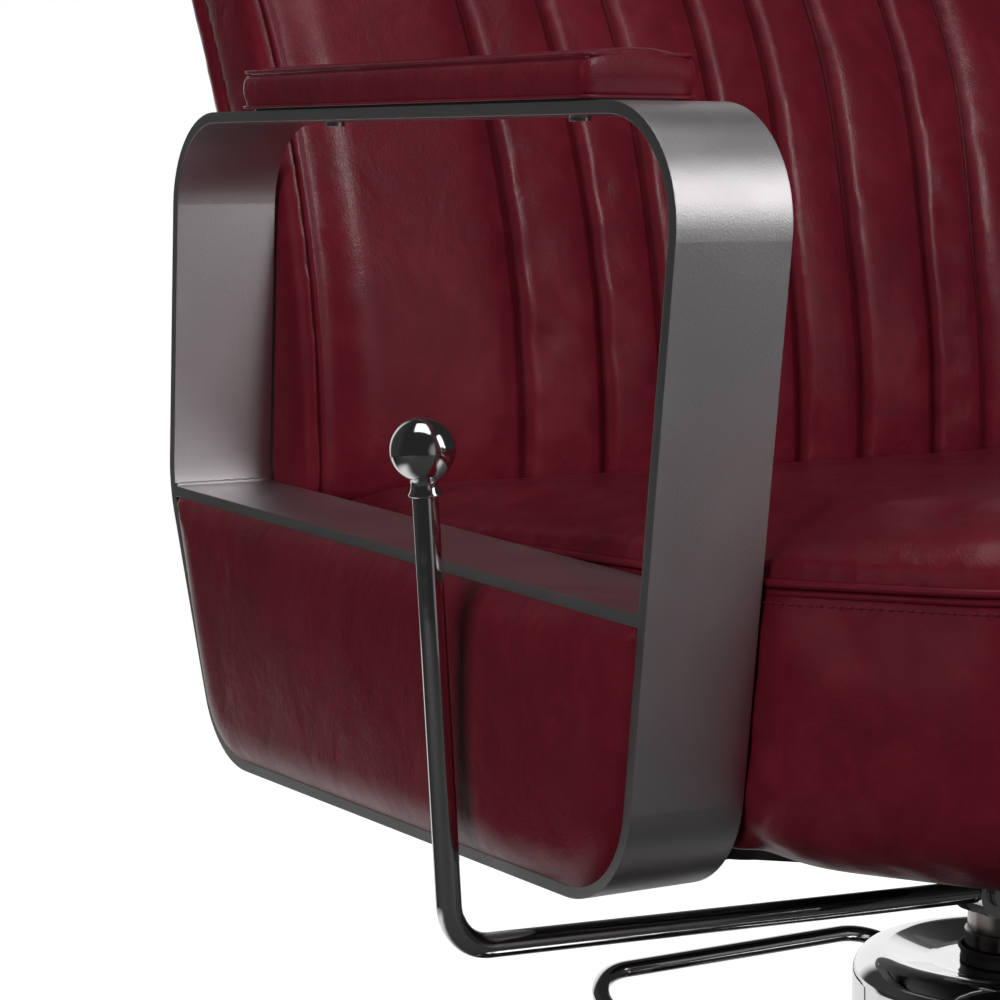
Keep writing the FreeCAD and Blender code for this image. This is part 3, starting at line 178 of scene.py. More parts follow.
room.give(room_out.inputs["Surface"], room_light.outputs[0])
print("room nodes:", len(room.tree.nodes))


# %% [markdown]
# The front and flank boxes light the leather evenly and are not mirrored in it. The bend
# box is mirrored in the bends of the arms, the strip draws the line along each channel,
# and the small one sets a glint on the polished pieces.

# %% Soft boxes
def soft_box(name, place, aim, width, height, power, mirrored=True, diffuse=True):
    """Flat lamp that faces a point and can't be seen itself."""
    data = bpy.data.lights.new(name, "AREA")
    data.shape = "RECTANGLE"
    data.size, data.size_y = width, height
    data.energy = power
    box = bpy.data.objects.new(name, data)
    box.location = place
    box.rotation_euler = (Vector(aim) - Vector(place)).to_track_quat("-Z", "Y").to_euler()
    box.visible_camera = False
    box.visible_glossy = mirrored
    box.visible_diffuse = diffuse
    scene.collection.objects.link(box)
    return box


SEAT_MIDDLE = (0, 0, 0.6)
soft_box("front_box", (0.55, -2.20, 1.15), (0.05, 0.1, 0.65), 1.0, 1.0, 32, mirrored=False)
bend_box = soft_box("bend_box", (0.56, -1.31, 1.30), (-0.35, -0.23, 0.65), 0.9, 1.05, 7.0)
soft_box("low_glint", (2.1, -2.0, 0.95), (0.0, -0.34, 0.43), 0.35, 0.35, 0.9)
ridge_strip = soft_box("ridge_strip", (0.0, -1.85, 2.25), (0.05, 0.35, 0.8), 0.28, 1.1, 23,
                       diffuse=False)
soft_box("top_box", (-0.3, -0.3, 2.6), SEAT_MIDDLE, 1.8, 1.4, 15)
soft_box("flank_box", (-2.5, -0.5, 1.2), SEAT_MIDDLE, 1.6, 1.6, 35, mirrored=False)

# %% [markdown]
# The camera sees a pale floor with the chair's shadow on it. Polished metal mirrors it as
# white only behind the chair, and lamps find it grey, so that it throws little light back
# under the seat.

# %% The floor
FLOOR_RADIUS = 2.3
TONE, TONE_SEEN, TONE_MIRRORED = 0.16, 0.55, 0.07
GLOW_NEAR, GLOW_FAR, GLOW_MIRRORED = 0.86, 0.96, 0.85
floor_shape = bmesh.new()
bmesh.ops.create_circle(floor_shape, cap_ends=True, radius=FLOOR_RADIUS, segments=96)
floor_mesh = bpy.data.meshes.new("studio_floor")
floor_shape.to_mesh(floor_mesh)
floor_shape.free()
floor = bpy.data.objects.new("studio_floor", floor_mesh)
scene.collection.objects.link(floor)
floor_paint = bpy.data.materials.new("floor_paint")
floor_paint.use_nodes = True
paint = Nodes(floor_paint.node_tree)
paint.tree.nodes.clear()
floor_rays = paint.add("ShaderNodeLightPath").outputs
spot = paint.add("ShaderNodeTexCoord").outputs["Object"]
tone = paint.sums("MULTIPLY_ADD", floor_rays["Is Glossy Ray"], TONE_MIRRORED - TONE, TONE)
tone = paint.sums("MULTIPLY_ADD", floor_rays["Is Camera Ray"], TONE_SEEN - TONE, tone)
near_chair = paint.spread(paint.vector_sums("LENGTH", spot), 0.8, 1.2, 1, 0, smooth=True)
to_rear = paint.vector_sums("DOT_PRODUCT", spot, (-0.30, 0.95, 0))
to_left = paint.vector_sums("DOT_PRODUCT", spot, (0.95, 0.31, 0))
behind_chair = paint.spread(to_rear, 0.15, 0.50, 0, GLOW_MIRRORED, smooth=True)
left_of_chair = paint.spread(to_left, -0.45, -0.20, 0, 1, smooth=True)
mirrored = paint.sums("MULTIPLY", behind_chair,
                      paint.sums("MAXIMUM", near_chair, left_of_chair))
mirrored = paint.sums("MULTIPLY", floor_rays["Is Glossy Ray"], mirrored)
pale = paint.spread(near_chair, 0, 1, GLOW_FAR, GLOW_NEAR)
glow = paint.sums("MULTIPLY_ADD", floor_rays["Is Camera Ray"], pale, mirrored)
matt = paint.add("ShaderNodeBsdfDiffuse")
paint.give(matt.inputs["Color"], tone)
glowing = paint.add("ShaderNodeEmission")
paint.give(glowing.inputs["Strength"], glow)
both = paint.add("ShaderNodeAddShader")
paint.give(both.inputs[0], matt.outputs[0])
paint.give(both.inputs[1], glowing.outputs[0])
floor_out = paint.add("ShaderNodeOutputMaterial")
paint.give(floor_out.inputs["Surface"], both.outputs[0])
floor_mesh.materials.append(floor_paint)
print("floor radius:", FLOOR_RADIUS, "m")

# %% [markdown]
# ## Finishes
#
# Every finish is drawn by noise and cell patterns in the object's own space, at the size
# that the real one has: leather pores of about a millimetre, creases of a few millimetres,
# clouds of a hand's width. Pictures could do it too, but they stretch and repeat. Scales
# are patterns in a metre and heights are metres.


# %% A finish and its nodes
class Finish(Nodes):
    """One material and the patterns that it is drawn from."""

    def __init__(self, name, **sockets):
        self.material = bpy.data.materials.new(name)
        self.material.use_nodes = True
        super().__init__(self.material.node_tree)
        self.surface = self.tree.nodes["Principled BSDF"]
        for socket, value in sockets.items():
            self.to(socket.replace("_", " ").title(), value)
        self.place = self.add("ShaderNodeTexCoord").outputs["Object"]

    def stretched(self, x, y, z):
        """The object's space, scaled along its axes."""
        node = self.add("ShaderNodeMapping")
        self.give(node.inputs["Vector"], self.place)
        node.inputs["Scale"].default_value = (x, y, z)
        return node.outputs[0]

    def noise(self, scale, detail=2, distortion=0.0, place=None):
        """Outputs of a noise pattern."""
        node = self.add("ShaderNodeTexNoise")
        self.give(node.inputs["Vector"], place or self.place)
        self.give(node.inputs["Scale"], scale)
        self.give(node.inputs["Detail"], detail)
        self.give(node.inputs["Distortion"], distortion)
        return node.outputs

    def cloud(self, scale, detail=4, distortion=0.0, place=None):
        """Clouds with values about a half."""
        return self.noise(scale, detail, distortion, place)["Fac"]

    def cells(self, scale, feature="F1", place=None):
        """Distance from the middle of a cell, or from its edge."""
        node = self.add("ShaderNodeTexVoronoi", feature=feature)
        self.give(node.inputs["Vector"], place or self.place)
        self.give(node.inputs["Scale"], scale)
        return node.outputs["Distance"]

    def tones(self, source, *stops):
        """Colours laid over a pattern, each at a value of it."""
        node = self.add("ShaderNodeValToRGB")
        self.give(node.inputs["Fac"], source)
        elements = node.color_ramp.elements
        while len(elements) < len(stops):
            elements.new(0.5)
        for element, (position, colour) in zip(elements, stops):
            element.position = position
            element.color = (*colour, 1)
        return node.outputs["Color"]

    def raised(self, height, distance, under=None):
        """Normals of a relief, over those of the one under it."""
        node = self.add("ShaderNodeBump")
        node.inputs["Distance"].default_value = distance
        self.give(node.inputs["Height"], height)
        if under:
            self.give(node.inputs["Normal"], under)
        return node.outputs[0]

    def rounded(self, radius):
        """Normals that break sharp edges."""
        node = self.add("ShaderNodeBevel")
        node.inputs["Radius"].default_value = radius
        return node.outputs[0]

    def to(self, socket, value):
        """Feed one of the surface's sockets."""
        self.give(self.surface.inputs[socket], value)

    def coloured(self, source, *stops):
        """Colour that goes through some tones, from the lows of a pattern to its highs."""
        self.to("Base Color", self.tones(source, *stops))

    def rough(self, scale, detail, first, last, until=0.7):
        """Roughness that wanders from first to last."""
        self.to("Roughness", self.spread(self.cloud(scale, detail), 0.3, until, first, last))

    def grain(self, scale, detail, height):
        """Fine relief all over."""
        self.to("Normal", self.raised(self.cloud(scale, detail), height))


# %% [markdown]
# ### Leather
#
# The hide is a semi-gloss oxblood. Its colour clouds from nearly black red to a paler,
# rubbed red, and its pores and fine creases break the highlights up. Along each seam
# painted shade darkens the colour and takes the sheen out, as if the groove were shaded.
# The seam's place comes from a value that the making of each cover leaves on its points.

# %% Oxblood leather
FOLD_HEIGHT, CREASE_HEIGHT, PORE_HEIGHT = 0.0011, 0.00003, 0.00004
# Painted shade in the seam grooves: the colour mixed in along each seam, and how much of it.
SEAM_SHADE_COLOUR, SEAM_SHADE_STRENGTH = (0.016, 0.0012, 0.0022, 1), 0.45
STIR = (0.006, 0.006, 0.006)
hide = Finish("oxblood_leather")
hand_clouds = hide.cloud(9, 3)
rubbing = hide.cloud(46, 7, 1.1)
wear = hide.sums("MULTIPLY_ADD", hand_clouds, 0.55, hide.sums("MULTIPLY", rubbing, 0.45))
hide_colour = hide.tones(wear, (0.28, (0.076, 0.0042, 0.0094)),
                         (0.50, (0.108, 0.0066, 0.0140)), (0.72, (0.150, 0.0130, 0.0225)))
# Painted shade: the seam value darkens the colour and takes the sheen out along each seam.
seam_shade_value = hide.add("ShaderNodeAttribute", attribute_name="seam").outputs["Fac"]
seam_shade_share = hide.sums("MULTIPLY", seam_shade_value, SEAM_SHADE_STRENGTH)
hide.to("Base Color", hide.mixed(seam_shade_share, hide_colour, SEAM_SHADE_COLOUR))
hide.to("Specular IOR Level", hide.spread(seam_shade_value, 0.35, 0.85, 0.24, 0.0))
hide.to("Roughness", hide.spread(rubbing, 0.3, 0.7, 0.36, 0.28))
soft_folds = hide.raised(hide.cloud(24, 3, 0.6), FOLD_HEIGHT)
stirred = hide.vector_sums("MULTIPLY_ADD", hide.noise(110)["Color"], STIR, hide.place)
crease_lines = hide.spread(hide.cells(330, "DISTANCE_TO_EDGE", stirred), 0, 0.12, 0, 1)
creases = hide.raised(crease_lines, CREASE_HEIGHT, soft_folds)
hide.to("Normal", hide.raised(hide.cells(1000), PORE_HEIGHT, creases))
leather = hide.material

# %% Thread of the stitches
thread = Finish("waxed_thread")
thread.coloured(thread.cloud(300, 2), (0.3, (0.070, 0.006, 0.010)), (0.7, (0.110, 0.014, 0.020)))
thread.rough(900, 2, 0.34, 0.5)

# %% [markdown]
# ### Metals
#
# The arm frames are fine-blasted steel, which blurs what it mirrors and sparkles a little.
# The lever, foot loop, base dish and pump cover are polished and plated, with faint waves
# where they were buffed. Rails and brackets are lacquered black-brown.

# %% Satin steel of the arms
satin = Finish("satin_steel", metallic=1.0)
satin.coloured(satin.cloud(5, 5, 0.4), (0.3, (0.54, 0.515, 0.530)), (0.7, (0.63, 0.607, 0.622)))
satin.rough(30, 4, 0.36, 0.42)
satin.to("Normal", satin.raised(satin.cloud(1600, 2), 0.00010, satin.rounded(0.0006)))


# %% Polished and plated pieces
def polished(name, dark, light, low, high):
    """Mirror finish with buffing waves and a fine broken edge."""
    plate = Finish(name, metallic=1.0)
    waves = plate.cloud(11, 3, 0.5)
    plate.coloured(waves, (0.3, dark), (0.7, light))
    plate.rough(60, 6, low, high, until=0.75)
    plate.to("Normal", plate.raised(waves, 0.0005, plate.rounded(0.0004)))
    return plate.material


chrome = polished("plated_chrome", (0.60, 0.59, 0.60), (0.72, 0.71, 0.72), 0.05, 0.12)
mirror = polished("spun_mirror_sheet", (0.74, 0.74, 0.75), (0.82, 0.82, 0.83), 0.03, 0.08)
ground = polished("ground_column", (0.30, 0.27, 0.255), (0.40, 0.365, 0.345), 0.16, 0.26)
alloy = polished("tread_alloy", (0.55, 0.55, 0.56), (0.68, 0.68, 0.69), 0.26, 0.38)

# %% Lacquer, cast iron, rubber and plywood
lacquer = Finish("black_lacquer", coat_weight=0.3, coat_roughness=0.2)
lacquer.coloured(lacquer.cloud(14, 5), (0.3, (0.016, 0.014, 0.014)), (0.75, (0.034, 0.030, 0.029)))
lacquer.rough(80, 5, 0.30, 0.46)
lacquer.grain(420, 3, 0.00010)

iron = Finish("painted_iron")
iron.coloured(iron.cloud(18, 6), (0.3, (0.030, 0.030, 0.032)), (0.7, (0.055, 0.055, 0.058)))
iron.rough(70, 4, 0.48, 0.64)
iron.grain(260, 5, 0.00035)

rubber = Finish("moulded_rubber")
rubber.coloured(rubber.cloud(40, 6), (0.3, (0.012, 0.012, 0.012)), (0.75, (0.030, 0.029, 0.028)))
rubber.rough(90, 4, 0.55, 0.74)
rubber.grain(700, 3, 0.00010)

plywood = Finish("bent_plywood", roughness=0.55)
veneer = plywood.cloud(7, 6, 1.4, plywood.stretched(6, 1, 1))
plywood.coloured(veneer, (0.35, (0.30, 0.17, 0.085)), (0.65, (0.48, 0.30, 0.16)))
plywood.to("Normal", plywood.raised(veneer, 0.0003))
print("finishes:", len(bpy.data.materials))

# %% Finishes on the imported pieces
finish_of_slot = {
    "cast_base": iron.material,
    "polished_sheet": mirror,
    "satin_steel": satin.material,
    "dark_steel": lacquer.material,
    "column_steel": ground,
    "plated_steel": chrome,
    "black_rubber": rubber.material,
    "red_leather": leather,
    "ply_board": plywood.material,
    "tread_alloy": alloy,
}
finish_of_node = {
    "seat_pan": lacquer.material,
    "arm_pad_board_right": lacquer.material,
    "arm_pad_board_left": lacquer.material,
}
for part in frame["record"]["subparts"]:
    mesh = frame["nodes"][part["node"]].data
    mesh.materials.clear()
    usual = finish_of_slot[part["material_slot"]]
    mesh.materials.append(finish_of_node.get(part["node"], usual))

# %% [markdown]
# ## How a cover is made
#
# A leather cover is sewn a little too small and then filled with foam, so it bulges
# between its seams and pulls in at them. Here the padded solid is copied and skinned with
# even squares. A coarser copy is blown up as cloth whose sewn points stay put, and the
# fine one then follows it, so that the filling takes seconds. The foam is firm, so no point
# moves more than a few millimetres. Sculpting by hand would do it as well, but cloth finds
# the small pulls beside the seams by itself.


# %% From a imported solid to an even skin
def settle(piece):
    """Work a piece's modifiers into its mesh."""
    graph = bpy.context.evaluated_depsgraph_get()
    worked = bpy.data.meshes.new_from_object(piece.evaluated_get(graph))
    piece.modifiers.clear()
    former, piece.data = piece.data, worked
    bpy.data.meshes.remove(former)


def placed(name, shape):
    """New object from a finished bmesh."""
    mesh = bpy.data.meshes.new(name)
    shape.to_mesh(mesh)
    shape.free()
    piece = bpy.data.objects.new(name, mesh)
    scene.collection.objects.link(piece)
    return piece


def skin_of(node, name, voxel):
    """Copy of a padded solid in squares of one size."""
    shape = bmesh.new()
    shape.from_mesh(frame["nodes"][node].data)
    bmesh.ops.remove_doubles(shape, verts=shape.verts, dist=0.00002)
    bmesh.ops.recalc_face_normals(shape, faces=shape.faces)
    piece = placed(name, shape)
    squares = piece.modifiers.new("even_squares", "REMESH")
    squares.mode = "VOXEL"
    squares.voxel_size = voxel
    squares.use_smooth_shade = True
    even = piece.modifiers.new("even_out", "SMOOTH")
    even.factor = 0.5
    even.iterations = 3
    settle(piece)
    return piece


def points(piece):
    """A piece's points as an array with one row each."""
    flat = np.empty(len(piece.data.vertices) * 3)
    piece.data.vertices.foreach_get("co", flat)
    return flat.reshape(-1, 3)


def directions(piece):
    """Outward direction at each point."""
    flat = np.empty(len(piece.data.vertices) * 3)
    piece.data.vertices.foreach_get("normal", flat)
    return flat.reshape(-1, 3)


def set_points(piece, places):
    """Move a piece's points."""
    piece.data.vertices.foreach_set("co", np.ascontiguousarray(places, float).ravel())
    piece.data.update()


def ease(value, start, end):
    """Smooth step from 0 at the start to 1 at the end."""
    share = np.clip((value - start) / (end - start), 0.0, 1.0)
    return share * share * (3 - 2 * share)


# %% Filling a cover
FILLING_STEPS = 14
CARRIERS, CARRIER_SOFTNESS = 5, 0.002


def filling(node, sewn_at, most, slack=0.01, pressure=4.0, voxel=0.009):
    """Blow a coarse skin up as cloth, and give what it moved at any point.

    Points where sewn_at gives 1 stay where they are.
    """
    soft = skin_of(node, node + "_filling", voxel)
    start = points(soft)
    sewn = sewn_at(start, directions(soft))
    group = soft.vertex_groups.new(name="sewn")
    for index in np.nonzero(sewn > 0.01)[0]:
        group.add([int(index)], float(min(sewn[index], 1.0)), "REPLACE")
    cloth = soft.modifiers.new("filling", "CLOTH")
    weave = cloth.settings
    weave.quality = 4
    weave.mass = 0.35
    weave.tension_stiffness = weave.compression_stiffness = 12
    weave.shear_stiffness = 6
    weave.bending_stiffness = 1.5
    weave.use_pressure = True
    weave.uniform_pressure_force = pressure
    weave.shrink_min = -slack
    weave.effector_weights.gravity = 0
    weave.vertex_group_mass = "sewn"
    cloth.collision_settings.use_collision = False
    cloth.collision_settings.use_self_collision = False
    cloth.point_cache.frame_start = 1
    cloth.point_cache.frame_end = FILLING_STEPS
    for moment in range(1, FILLING_STEPS + 1):
        scene.frame_set(moment)
    settle(soft)
    scene.frame_set(1)
    moved = points(soft) - start
    length = np.linalg.norm(moved, axis=1, keepdims=True)
    moved *= np.minimum(1.0, most / np.maximum(length, 1e-9))
    bpy.data.objects.remove(soft)
    tree = KDTree(len(start))
    for index, place in enumerate(start):
        tree.insert(place, index)
    tree.balance()
    furthest = float(np.linalg.norm(moved, axis=1).max()) * 1000
    print(node, "filled, moved up to", round(furthest, 1), "mm")

    def moved_at(places):
        """Mean of what the nearest coarse points moved."""
        result = np.zeros_like(places)
        for row, place in enumerate(places):
            near = tree.find_n(place, CARRIERS)
            weight = np.array([1.0 / (distance + CARRIER_SOFTNESS) for _, _, distance in near])
            steps = moved[[index for _, index, _ in near]]
            result[row] = (steps * weight[:, None]).sum(0) / weight.sum()
        return result

    return moved_at


def finer(piece):
    """Halve the squares and round them."""
    rounder = piece.modifiers.new("finer", "SUBSURF")
    rounder.levels = rounder.render_levels = 1
    settle(piece)


def filled_cover(node, name, squares, sewn_at, most, **how):
    """Skin of a padded solid, blown up where it isn't sewn, and rounded."""
    cover = skin_of(node, name, squares)
    place = points(cover)
    place += filling(node, sewn_at, most, **how)(place)
    set_points(cover, place)
    finer(cover)
    return cover


def mark_seam_shade(piece, closeness):
    """Leave the seam's closeness on the points, where the finish paints shade into the seam."""
    layer = piece.data.attributes.new("seam", "FLOAT", "POINT")
    layer.data.foreach_set("value", np.clip(closeness, 0, 1).astype(np.float32))


def dressed(piece, body, finish):
    """Smooth, with its finish on, and carried by its body."""
    piece.data.materials.clear()
    piece.data.materials.append(finish)
    for polygon in piece.data.polygons:
        polygon.use_smooth = True
    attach(piece, body)
    print(piece.name, "faces:", len(piece.data.polygons))
    return piece


def finish_cover(piece, body, fill, *nodes):
    """Leather on, in place of its solids."""
    dressed(piece, body, leather)
    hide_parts(*nodes)


# %% Outlines and the lips along seams
def hull_of(flat):
    """Corners of the outline round flat points, in order."""
    order = geometry.convex_hull_2d([Vector(pair) for pair in flat])
    return np.array([flat[index] for index in order])


def inside_by(flat, corners):
    """How far each flat point is inside an outline."""
    centre = corners.mean(axis=0)
    depth = np.full(len(flat), np.inf)
    for first, last in zip(corners, np.roll(corners, -1, axis=0)):
        along = last - first
        length = np.hypot(*along)
        if length < 1e-6:
            continue
        across = np.array([-along[1], along[0]]) / length
        across *= np.sign((centre - first) @ across)
        depth = np.minimum(depth, (flat - first) @ across)
    return depth


def even_loop(corners, spacing, inset=0.0):
    """Outline as even steps, drawn in by an inset."""
    ends = np.vstack([corners, corners[:1]])
    run = np.concatenate([[0], np.cumsum(np.hypot(*np.diff(ends, axis=0).T))])
    steps = np.linspace(0, run[-1], int(run[-1] / spacing), endpoint=False)
    loop = np.column_stack([np.interp(steps, run, ends[:, axis]) for axis in (0, 1)])
    along = np.roll(loop, -2, axis=0) - np.roll(loop, 2, axis=0)
    inward = np.column_stack([-along[:, 1], along[:, 0]]) / np.hypot(*along.T)[:, None]
    inward *= np.sign(((loop.mean(axis=0) - loop) * inward).sum(axis=1))[:, None]
    return loop + inset * inward


def lay_lip(name, route, radius, body, finish, closed=True):
    """Thin round lip along a route of points."""
    line = bpy.data.curves.new(name, "CURVE")
    line.dimensions = "3D"
    line.bevel_depth = radius
    line.bevel_resolution = 2
    line.use_fill_caps = not closed
    spline = line.splines.new("POLY")
    spline.points.add(len(route) - 1)
    spline.points.foreach_set("co", np.column_stack([route, np.ones(len(route))]).ravel())
    spline.use_cyclic_u = closed
    drawn = bpy.data.objects.new(name + "_line", line)
    scene.collection.objects.link(drawn)
    graph = bpy.context.evaluated_depsgraph_get()
    mesh = bpy.data.meshes.new_from_object(drawn.evaluated_get(graph))
    bpy.data.objects.remove(drawn)
    mesh.name = name
    piece = bpy.data.objects.new(name, mesh)
    scene.collection.objects.link(piece)
    return dressed(piece, body, finish)


# %% [markdown]
# ## The back
#
# Seven sewn channels run down the middle of the back between two broad plain bolsters.
# Each channel rises steeply out of its seam and is nearly flat in the middle. The seams
# were drawn by hand on the real hide and are not quite even, and so are these. The front
# panel is a grid whose columns follow the seams, so that every seam stays crisp, and it is
# sewn to a plain gusset that goes round the sides.

# %% Line of the back, seen from the side
LOW_BEND, HIGH_BEND = 0.505, 0.757
LOW_ROUND, HIGH_ROUND = 0.500, 1.640
BACK_FRONT, BACK_FOOT, BACK_TOP = 0.214, 0.467, 1.070
BACK_HALF, CORNER_ROUND, ROLL_DEPTH = 0.315, 0.014, 0.026


def back_line(z):
    """Depth of the back's front at a height."""
    rise = np.clip(z, LOW_BEND, HIGH_BEND) - LOW_BEND
    line = BACK_FRONT + LOW_ROUND - np.sqrt(LOW_ROUND ** 2 - rise ** 2)
    lean = (HIGH_BEND - LOW_BEND) / LOW_ROUND
    left = lean - np.maximum(z - HIGH_BEND, 0) / HIGH_ROUND
    return line + HIGH_ROUND * (np.sqrt(1 - left ** 2) - math.sqrt(1 - lean ** 2))


def turned_under(height, reach, inset):
    """How far a quarter-round edge draws in at a height above its start."""
    share = np.clip(1 - height / reach, 0, 1)
    return inset * (1 - np.sqrt(1 - share ** 2))


def edge_roll(z):
    """Share by which the back's upper and lower edges roll away."""
    return turned_under(BACK_TOP - z, 0.036, 1.0) + 0.8 * turned_under(z - BACK_FOOT, 0.026, 1.0)


def half_width(z):
    """Half the back's width at a height."""
    return (BACK_HALF - turned_under(BACK_TOP - z, 0.060, 0.046)
            - turned_under(z - BACK_FOOT, 0.020, 0.008))


def plain_front(x, z):
    """Depth of the front without its channels, with its edges and corners rounded."""
    corner = np.clip((np.abs(x) - half_width(z) + CORNER_ROUND) / CORNER_ROUND, 0, 1)
    corner_depth = CORNER_ROUND * (1 - np.sqrt(1 - corner ** 2))
    return back_line(z) + ROLL_DEPTH * edge_roll(z) + corner_depth


# %% Seams of the channels
SEAMS_HIGH = np.array([-0.181, -0.127, -0.081, -0.022, 0.023, 0.068, 0.127, 0.170])
SEAMS_LOW = np.array([-0.181, -0.127, -0.086, -0.032, 0.011, 0.057, 0.113, 0.153])
CHANNELS = len(SEAMS_LOW) - 1
GUSSET_IN = 0.0085


def seam_places(z):
    """Sideways place of every seam at each height, one column a seam."""
    share = ease(z, 0.60, 0.77)[:, None]
    return SEAMS_LOW + (SEAMS_HIGH - SEAMS_LOW) * share


def to_seams(x, z):
    """Distance to the nearest channel seam."""
    return np.abs(x[:, None] - seam_places(z)).min(axis=1)


# %% Filling of the back
def back_sewn(place, outward):
    """The channel seams, the side seams and the rear edge hold the leather."""
    x, y, z = place.T
    front = outward[:, 1] < -0.5
    channels = (to_seams(x, z) < 0.0050) & front
    sides = np.abs(np.abs(x) - half_width(z) + GUSSET_IN) < 0.006
    return (channels | sides | (y > back_line(z) + 0.036)).astype(float)


back_filling = filling("back_cushion", back_sewn, 0.0030, slack=0.012, pressure=4)

# %% Front panel of the back
ROWS, BOLSTER_COLUMNS, CHANNEL_COLUMNS, TURNED_COLUMNS = 150, 30, 14, 2
CHANNEL_HEIGHT, SEAM_DIP, LIP_HEIGHT = 0.0056, 0.0018, 0.0012
STEEP_SIDE, SOFT_SIDE, CREST_PLACE, CREST_SHARE = 0.0030, 0.0055, 0.0060, 0.14
GROOVE_WIDTH, LIP_PLACE, LIP_WIDTH = 0.0022, 0.0022, 0.0013
END_MARGIN, END_TURN, SIDE_TURN, SIDE_DRAW = 0.003, 0.006, 0.004, 0.0004
strips = [BOLSTER_COLUMNS] + [CHANNEL_COLUMNS] * CHANNELS + [BOLSTER_COLUMNS]
columns = sum(strips)
all_columns = columns + 2 * TURNED_COLUMNS
shape = bmesh.new()
bmesh.ops.create_grid(shape, x_segments=all_columns, y_segments=ROWS, size=0.5)
panel = placed("back_front_panel", shape)
grid = points(panel) + 0.5
at_column = np.rint(grid[:, 0] * all_columns).astype(int) - TURNED_COLUMNS
z = BACK_FOOT + END_MARGIN + (BACK_TOP - BACK_FOOT - 2 * END_MARGIN) * grid[:, 1]
edge_x = half_width(z) - GUSSET_IN
lines = np.column_stack([-edge_x, seam_places(z), edge_x])

# The columns of each strip gather at its seams.
x = edge_x * np.sign(at_column - 1)
in_channel = np.zeros(len(z), bool)
first = 0
for number, count in enumerate(strips):
    here = (at_column >= first) & (at_column <= first + count)
    share = (at_column[here] - first) / count
    share = 0.25 * share + 0.75 * (0.5 - 0.5 * np.cos(math.pi * share))
    left, right = lines[here, number], lines[here, number + 1]
    x[here] = left + (right - left) * share
    in_channel[here] = 0 < number <= CHANNELS
    first += count

# A channel rises steeply from one seam, has its crest there, and falls softly to the next.
near = to_seams(x, z)
seams = seam_places(z)
number = np.clip((x[:, None] > seams).sum(axis=1), 1, CHANNELS)
from_left = np.clip(x - seams[np.arange(len(x)), number - 1], 0, 1)
from_right = np.clip(seams[np.arange(len(x)), number] - x, 0, 1)
rise = (1 - np.exp(-from_left / STEEP_SIDE)) * (1 - np.exp(-from_right / SOFT_SIDE))
rise += CREST_SHARE * np.exp(-((from_left - CREST_PLACE) / STEEP_SIDE) ** 2)
rise = np.where(in_channel, rise, 1 - np.exp(-near / SOFT_SIDE))
groove = np.exp(-(near / GROOVE_WIDTH) ** 2)
to_edge = edge_x - np.abs(x)
lip = np.exp(-((to_edge - LIP_PLACE) / LIP_WIDTH) ** 2)
flat_share = np.clip(1 - edge_roll(z) * 1.3, 0, 1) * ease(to_edge, 0.002, 0.030)
y = (plain_front(x, z) - CHANNEL_HEIGHT * rise * flat_share
     + SEAM_DIP * groove - LIP_HEIGHT * lip)

# The outermost columns and rows are turned in behind the edge.
place = np.column_stack([x, y, z])
place[:, 1] += back_filling(place)[:, 1] * (1 - groove) * ease(to_edge, 0.003, 0.015)
turned_in = np.maximum(np.maximum(-at_column, at_column - columns), 0)
place[:, 1] += SIDE_TURN * turned_in
place[:, 0] -= SIDE_DRAW * turned_in * np.sign(x)
at_row = np.rint(grid[:, 1] * ROWS)
place[:, 1] += END_TURN * ((at_row == 0) | (at_row == ROWS))
set_points(panel, place)
shape = bmesh.new()
shape.from_mesh(panel.data)
foremost = min(shape.faces, key=lambda face: face.calc_center_median().y)
if foremost.normal.y > 0:
    bmesh.ops.reverse_faces(shape, faces=shape.faces)
shape.to_mesh(panel.data)
shape.free()
# Painted shade along the channel seams and along the panel's outer edge seam.
mark_seam_shade(panel, np.exp(-(near / 0.0016) ** 2) + 0.8 * (to_edge < 0.0006))
finish_cover(panel, "backrest", 0.85, "back_cushion")

# %% Gusset round the back
# Its front lies flat under the panel, and its rear edge is folded to the rear cover.
UNDER_PANEL, PANEL_DEPTH = 0.0045, 0.035
REAR_FOLD, FOLD_START, FOLD_END = 0.0115, 0.030, 0.0495
gusset = skin_of("back_cushion", "back_gusset_cover", 0.0055)
place, outward = points(gusset), directions(gusset)
x, y, z = place.T
inward = half_width(z) - GUSSET_IN - np.abs(x)
front = ease(-outward[:, 1], 0.15, 0.5) * ease(inward, -0.001, 0.004)
front *= y < back_line(z) + PANEL_DEPTH
place[:, 1] += front * (plain_front(x, z) + UNDER_PANEL - y)
behind = ease(y - back_line(z), FOLD_START, FOLD_END)
outside = np.maximum(ease(np.abs(x), 0.3025, 0.306), ease(z, 1.0565, 1.0600))
place[:, 1] += REAR_FOLD * behind * outside
set_points(gusset, place)
finer(gusset)
finish_cover(gusset, "backrest", 0.85, "back_cushion")

# %% [markdown]
# The back's rear is one plain padded panel. It is only rounded and a little fuller in
# the middle.


# %% Rear cover of the back
def rear_sewn(place, outward):
    """Everything but the outer face is held."""
    return (outward[:, 1] < 0.3) * 1.0


rear_cover = filled_cover("back_shell", "back_rear_cover", 0.0065, rear_sewn, 0.005,
                          pressure=3, voxel=0.012)
finish_cover(rear_cover, "backrest", 0.9, "back_shell")

# %% [markdown]
# ## The seat
#
# The seat is a padded box with a bowed front, and a cushion sewn on above it. The seam
# slopes back a little. Two narrow lips meet in it, where the edges of the leather are
# folded under, and a row of stitches runs just below. Above the seam the leather rolls up
# to a crest and falls away to the back; below it, it hangs full and turns under.

# %% The seam's plane
SEAM_FRONT_Y, SEAM_REAR_Y = -0.345, 0.204
SEAM_FRONT_Z, SEAM_REAR_Z = 0.4957, 0.4765


